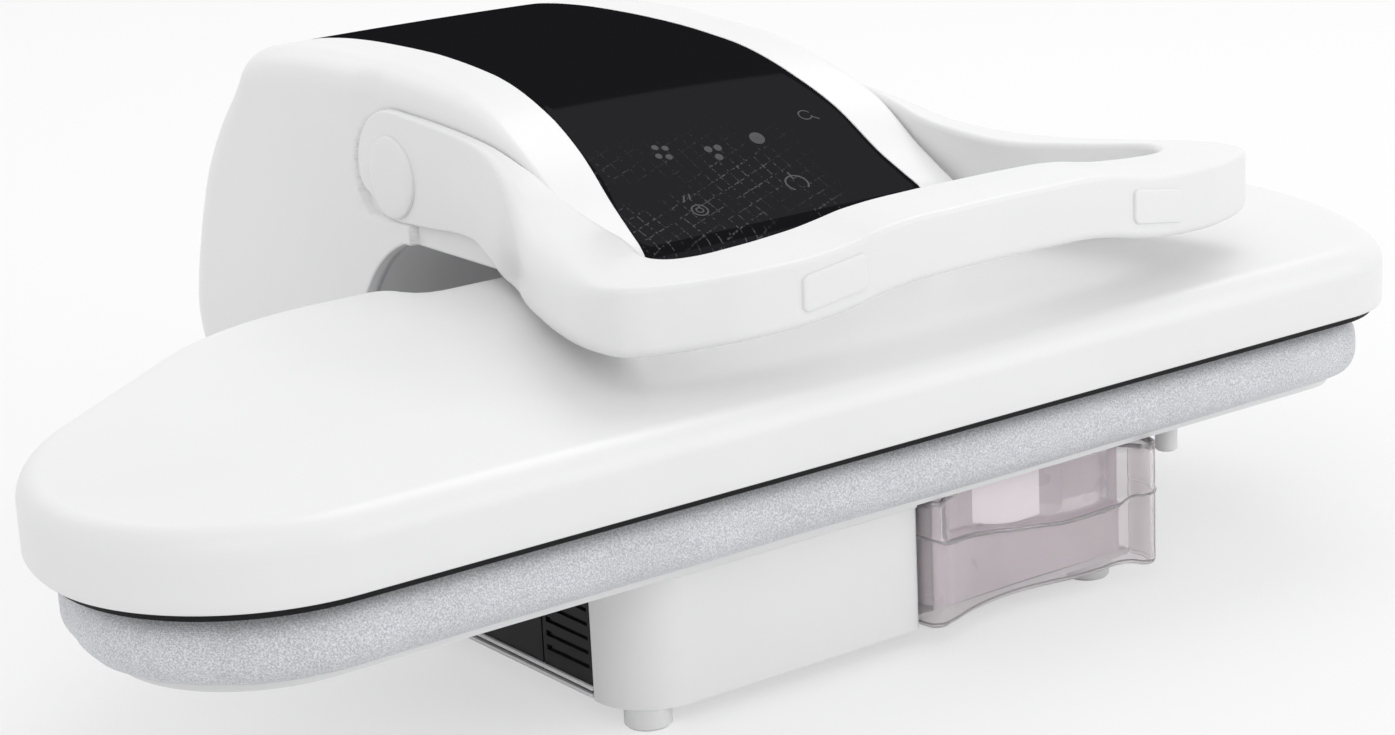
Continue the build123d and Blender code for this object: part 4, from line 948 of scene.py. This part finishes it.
def screw_tree():
    """Node group that stands a cross-head screw on each point, with named inputs for its sizes."""
    tree = bpy.data.node_groups.new("base_screws", "GeometryNodeTree")
    inputs = (
        ("Geometry", "Geometry", None), ("Head Radius", "Float", 0.0034), ("Head Height", "Float", HEAD_HEIGHT),
        ("Sides", "Int", 24), ("Finish", "Material", None),
    )
    for title, kind, default in inputs:
        socket = tree.interface.new_socket(title, in_out="INPUT", socket_type="NodeSocket" + kind)
        if default is not None:
            socket.default_value = default
    tree.interface.new_socket("Geometry", in_out="OUTPUT", socket_type="NodeSocketGeometry")
    nodes = Nodes(tree)
    points, radius, depth, sides, finish = (nodes.node("NodeGroupInput", out=title) for title, _, _ in inputs)
    taper, cross_size = 0.72, (0.0042, 0.0008, 0.0012)
    cone = {"Vertices": sides, "Radius Bottom": radius * taper, "Radius Top": radius, "Depth": depth}
    head = nodes.node("GeometryNodeMeshCone", inputs=cone)
    slot = nodes.node("GeometryNodeMeshCube", inputs={"Size": cross_size})
    cross = nodes.node("GeometryNodeTransform", inputs={"Geometry": slot, "Rotation": (0.0, 0.0, math.radians(90))})
    cut = nodes.node("GeometryNodeMeshBoolean", {"operation": "DIFFERENCE"}, {"Mesh 1": head, "Mesh 2": [slot, cross]})
    spread = nodes.node("GeometryNodeInstanceOnPoints", inputs={"Points": points, "Instance": cut})
    real = nodes.node("GeometryNodeRealizeInstances", inputs={"Geometry": spread})
    coated = nodes.node("GeometryNodeSetMaterial", inputs={"Geometry": real, "Material": finish})
    nodes.node("NodeGroupOutput", inputs={"Geometry": coated})
    return tree


def grown(name, points, tree, settings):
    """Points run through a node tree with named inputs, as a plain mesh."""
    mesh = bpy.data.meshes.new(name + "_points")
    mesh.from_pydata([to_row(point) for point in points], [], [])
    seed = add_object(name + "_points", mesh)
    growth = seed.modifiers.new("growth", "NODES")
    growth.node_group = tree
    names = {item.name: item.identifier for item in tree.interface.items_tree if item.in_out == "INPUT"}
    for title, value in settings.items():
        growth[names[title]] = value
    bpy.context.view_layer.update()
    graph = bpy.context.evaluated_depsgraph_get()
    made = bpy.data.meshes.new_from_object(seed.evaluated_get(graph), depsgraph=graph)
    made.name = name
    piece = add_object(name, made)
    bpy.data.objects.remove(seed)
    return piece


class StageOperator(bpy.types.Operator):
    """Lays the pale floor and sets the soft lights, the white surround and the camera"""

    bl_idname = "press.stage"
    bl_label = "Stage"

    def execute(self, context):
        lay_floor(tuple(context.scene.press_colours.floor))
        light_world(context.scene)
        set_lamps()
        set_camera(context.scene)
        context.scene.view_settings.view_transform = "Standard"
        return {"FINISHED"}


def lay_floor(colour):
    """Broad pale floor that shows the camera and mirrors a part of pure white, and keeps the press's shadow."""
    mesh = bpy.data.meshes.new("floor")
    reach = 14.0
    corners = [(-reach, -reach, 0), (reach, -reach, 0), (reach, reach, 0), (-reach, reach, 0)]
    mesh.from_pydata(corners, [], [(0, 1, 2, 3)])
    floor = add_object("floor", mesh)
    finish = Finish("floor", Base_Color=colour)
    finish.feed("Roughness", finish.noise(3.0) * 0.1 + 0.8)
    seen = finish.node("ShaderNodeLightPath", out="Is Camera Ray") * 0.55
    mirrored = finish.node("ShaderNodeLightPath", out="Is Glossy Ray") * 0.3
    glow = finish.node("ShaderNodeEmission", inputs={"Color": (1.0, 1.0, 1.0)})
    finish.cover(seen.math("MAXIMUM", mirrored), glow)
    mesh.materials.append(finish.material)


def light_world(scene):
    """White surround: full where it is seen, mirrored or looked through, and softer where it only lights."""
    world = bpy.data.worlds.new("surround")
    scene.world = world
    world.use_nodes = True
    nodes = Nodes(world.node_tree)
    rays = ("Is Camera Ray", "Is Glossy Ray", "Is Transmission Ray")
    camera, mirror, through = (nodes.node("ShaderNodeLightPath", out=ray) for ray in rays)
    seen = camera.math("MAXIMUM", mirror.math("MAXIMUM", through))
    level = nodes.node("ShaderNodeMapRange", inputs={"Value": seen, "To Min": 0.77, "To Max": 1.0})
    backdrop = world.node_tree.nodes["Background"]
    nodes.plug(backdrop.inputs["Strength"], level)
    nodes.plug(backdrop.inputs["Color"], (1.0, 1.0, 1.0))


def set_lamps():
    """Four broad soft lamps: a key over the left front, one over the right, a low fill and one behind."""
    lamps = [
        ("key", (-1.7, -1.9, 2.6), 2.4, 13.0),
        ("top", (1.2, 0.5, 2.0), 1.5, 11.0),
        ("fill", (1.8, -2.4, 0.9), 2.2, 16.0),
        ("back", (-0.2, 2.6, 2.0), 2.0, 6.0),
    ]
    target = Vector((0.0, -0.05, 0.12))
    for name, place, size, power in lamps:
        lamp = bpy.data.lights.new(name, "AREA")
        lamp.shape = "DISK"
        lamp.size = size
        lamp.energy = power
        stand = add_object(name, lamp)
        stand.location = place
        stand.rotation_euler = (target - Vector(place)).to_track_quat("-Z", "Y").to_euler()


def set_camera(scene):
    """Camera fitted to the photograph: aim point, distance, direction, roll and lens."""
    aim = Vector(to_row((-4.0, -27.1, 94.5)))
    distance, picture_width, picture_height = 1.3178, 1395.0, 735.0
    turn, rise, roll = math.radians(-36.41), math.radians(16.69), math.radians(-2.62)
    focus, middle_u, middle_v = 3122.03, 736.97, 406.17
    back = Vector((math.sin(turn) * math.cos(rise), -math.cos(turn) * math.cos(rise), math.sin(rise)))
    level = Vector((math.cos(turn), math.sin(turn), 0.0))
    upright = back.cross(level)
    right = level * math.cos(roll) + upright * math.sin(roll)
    up = upright * math.cos(roll) - level * math.sin(roll)
    lens = bpy.data.cameras.new("view")
    lens.sensor_width = 36.0
    lens.lens = lens.sensor_width * focus / picture_width
    lens.shift_x = (picture_width / 2 - middle_u) / picture_width
    lens.shift_y = (middle_v - picture_height / 2) / picture_width
    lens.clip_end = 50.0
    camera = add_object("view", lens)
    camera.matrix_world = Matrix.Translation(aim + back * distance) @ Matrix((right, up, back)).transposed().to_4x4()
    scene.camera = camera


class FinishOperator(bpy.types.Operator):
    """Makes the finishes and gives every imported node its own"""

    bl_idname = "press.finishes"
    bl_label = "Finishes"

    def execute(self, context):
        make_finishes(context.scene.press_colours)
        slots = {part["node"]: part["material_slot"] for part in frame["record"]["subparts"]}
        for name, node in frame["nodes"].items():
            finish = FINISHES[slots[name]]
            if node.material_slots:
                for place in node.material_slots:
                    place.material = finish
            else:
                node.data.materials.append(finish)
        return {"FINISHED"}


class HoodOperator(bpy.types.Operator):
    """Builds the hood with its cheeks, the glass and the touch marks"""

    bl_idname = "press.hood"
    bl_label = "Hood"

    def execute(self, context):
        sizes = context.scene.press_sizes
        dress(hood_piece(sizes), "arm", "white_gloss", replaced=["arm_shell"])
        dress(glass_piece(sizes), "arm", "dark_panel", replaced=["glass_panel"])
        marks = [
            mark_ring(19.4, 35.2, 6.0, 0.9, -50, 230), mark_bar(19.4, 40.0, 5.0, 0.9, 90),
            mark_ring(51.3, 68.5, 3.6, 0.7, 20, 340), mark_bar(55.5, 66.0, 4.0, 0.8, -40),
            mark_ring(-37.2, 31.8, 4.2, 0.8), mark_ring(-37.2, 31.8, 2.0, 0.7), mark_bar(-40.0, 39.5, 5.0, 0.8, 60),
            mark_bar(-36.6, 40.0, 4.2, 0.8, 70),
            *mark_petals(-33.3, 63.7, 4, 3.4, 1.7), *mark_petals(-7.7, 59.0, 3, 3.0, 2.0),
            mark_ring(17.8, 61.3, 3.8, 3.6),
        ]
        points, faces = [], []
        for some, joins in marks:
            faces += [tuple(k + len(points) for k in face) for face in joins]
            points += some
        dress(new_piece("touch_marks", points, faces), "arm", "dark_panel", "mark_grey")
        return {"FINISHED"}


class HandleOperator(bpy.types.Operator):
    """Builds the stirrup handle, its two pads and the caps over its pivots"""

    bl_idname = "press.handle"
    bl_label = "Handle"

    def execute(self, context):
        dress(handle_piece(), "handle", "white_gloss", replaced=["handle_body"])
        profile = [
            (19.3, 102.6), (19.5, 103.8), (19.2, 104.7), (18.3, 105.2), (14.0, 105.5), (6.0, 105.6), (0.01, 105.6),
        ]
        for way, side in ((1, "right"), (-1, "left")):
            dress(grip_pad("grip_pad_" + side, way), "handle", "white_gloss", replaced=["grip_pads"])
            cap = turned("pivot_cap_" + side, profile, (ARM_X, GRIP_Y, GRIP_Z), way)
            dress(cap, "handle", "white_gloss", replaced=["pivot_caps"])
        return {"FINISHED"}


class PlateOperator(bpy.types.Operator):
    """Builds the pressing plate's smooth cover"""

    bl_idname = "press.plate"
    bl_label = "Plate cover"

    def execute(self, context):
        low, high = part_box("head_shell")
        bottom, top = low.z / MM, high.z / MM
        edge = context.scene.press_sizes.plate_round / MM
        profile = [(6.0, bottom + 0.4), (3.0, bottom + 0.4), (3.0, bottom), (0.9, bottom), (0.25, bottom + 0.25)]
        profile += [(0.0, bottom + 0.9), (0.0, bottom + 6.0), (0.0, bottom + 12.0)]
        profile += arc_points(edge, top - 0.4 - edge, edge, 180, 92, 13)
        profile += [(edge + 2.5, top - 0.25), (edge + 6.0, top)]
        cover = layered("plate_cover", plate_arcs(True), profile)
        dress(cover, "head", "white_gloss", replaced=["head_shell"])
        return {"FINISHED"}


class PadOperator(bpy.types.Operator):
    """Builds the board's padded silver cover"""

    bl_idname = "press.pad"
    bl_label = "Pressing pad"

    def execute(self, context):
        sizes = context.scene.press_sizes
        low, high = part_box("board_pad")
        bottom, top = low.z / MM, high.z / MM
        inset = low.x / MM - TIP
        edge = sizes.pad_round / MM
        profile = [(inset + 34.0, bottom + 0.5), (inset + 26.0, bottom + 0.2), (inset + edge + 3, bottom)]
        profile += arc_points(inset + edge, bottom + edge, edge, 270, 185, 10)
        profile += [(inset + 0.1, (bottom + top) / 2), (inset + 0.25, top - edge - 0.5)]
        profile += arc_points(inset + edge + 0.3, top - 0.7 - edge, edge, 178, 92, 10)
        profile += [(inset + edge + 8, top - 0.45), (inset + edge + 20, top - 0.15), (inset + 38.0, top)]
        pad = layered("pressing_pad", plate_arcs(False), profile, wave=sizes.pad_wave / MM)
        dress(pad, "base", "silver_cloth", replaced=["board_pad"])
        return {"FINISHED"}


class TankOperator(bpy.types.Operator):
    """Builds the clear tank front and the milky water box behind it"""

    bl_idname = "press.tank"
    bl_label = "Water tank"

    def execute(self, context):
        front = tank_front_piece(context.scene.press_sizes)
        dress(front, "tank", "clear_tank", replaced=["water_tank"])
        for milky in (tank_body_piece(), tank_screen()):
            dress(milky, "tank", "clear_tank", "milky_tank", replaced=["water_tank"])
        return {"FINISHED"}


def rear_cover():
    """Merged copy of the rear housing whose left roof falls away out of the front view."""
    piece = add_object("rear_cover", frame["nodes"]["rear_housing"].data.copy())
    work = bmesh.new()
    work.from_mesh(piece.data)
    bmesh.ops.remove_doubles(work, verts=work.verts, dist=SAME_POINT)
    beside = (ARM_X - CHEEK + 0.6) * MM
    fixed, roof_start, slope, most = 20.0, 290.0, 0.46, 23.0
    for vert in work.verts:
        y = vert.co.y / MM - PLATE_Y
        if vert.co.x < beside and vert.co.z > fixed * MM:
            share = min(1.0, (vert.co.z / MM - fixed) / fixed)
            vert.co.z -= share * MM * min(most, slope * max(0.0, y - roof_start))
    work.to_mesh(piece.data)
    work.free()
    return piece


class BaseOperator(bpy.types.Operator):
    """Adds the trims round the base and the screws under it"""

    bl_idname = "press.base"
    bl_label = "Base trims"

    def execute(self, context):
        sizes = context.scene.press_sizes
        dress(rear_cover(), "base", "white_gloss", replaced=["rear_housing"])
        left, front, round_r = -119.0, -107.6, 25.0
        lip_path = arc_points(left + round_r, front + round_r, round_r, 200, 270, 13)
        lip_path += [(x, front) for x in np.linspace(-80.0, 25.0, 16)]
        lip_section = [(-1.0, 61.8), (0.9, 62.0), (1.3, 62.6), (1.3, 63.8), (0.8, 64.3), (-1.0, 64.3)]
        sill_path = [(left + 0.3, y) for y in np.linspace(30.5, -78.5, 8)]
        sill_section = [(-1.2, 0.0), (0.8, 0.0), (1.1, 0.4), (1.1, 1.2), (0.8, 1.6), (-1.2, 1.6)]
        trims = [("front_lip", lip_path, lip_section, 0.0, "white_gloss")]
        trims += [("bay_sill_low", sill_path, sill_section, 9.4, "white_satin")]
        trims += [("bay_sill_high", sill_path, sill_section, 12.6, "white_satin")]
        for name, path, section, height, finish in trims:
            trim = strip_along(name, path, [(out, height + up) for out, up in section])
            sharpen(trim)
            dress(trim, "base", finish)
        places = [(x, y, SCREW_Z) for x, y in SCREW_SPOTS]
        settings = {
            "Head Radius": sizes.screw_head, "Head Height": HEAD_HEIGHT, "Sides": sizes.screw_sides,
            "Finish": FINISHES["steel"],
        }
        screws = grown("base_screws", places, screw_tree(), settings)
        dress(screws, "base", "steel")
        return {"FINISHED"}


class SteamPressPanel(bpy.types.Panel):
    """Lists the pieces of the steam press"""

    bl_idname = "VIEW3D_PT_steam_press"
    bl_label = "Steam Press"
    bl_space_type = "VIEW_3D"
    bl_region_type = "UI"
    bl_category = "Steam Press"

    def draw(self, context):
        for maker in MAKERS:
            self.layout.operator(maker.bl_idname)
        for group in (context.scene.press_sizes, context.scene.press_colours):
            for name in group.__annotations__:
                self.layout.prop(group, name)


MAKERS = (
    FinishOperator, StageOperator, PlateOperator, PadOperator, HoodOperator, HandleOperator, TankOperator, BaseOperator,
)
CLASSES = (PressSizes, PressColours, *MAKERS, SteamPressPanel)


def register():
    """Registers the press's properties, operators and panel."""
    for made in CLASSES:
        bpy.utils.register_class(made)
    bpy.types.Scene.press_sizes = PointerProperty(type=PressSizes)
    bpy.types.Scene.press_colours = PointerProperty(type=PressColours)


def unregister():
    """Takes them out again, last first."""
    del bpy.types.Scene.press_colours
    del bpy.types.Scene.press_sizes
    for made in reversed(CLASSES):
        bpy.utils.unregister_class(made)


def main():
    register()
    for maker in MAKERS:
        group, action = maker.bl_idname.split(".")
        getattr(getattr(bpy.ops, group), action)()


if __name__ == "__main__":
    main()
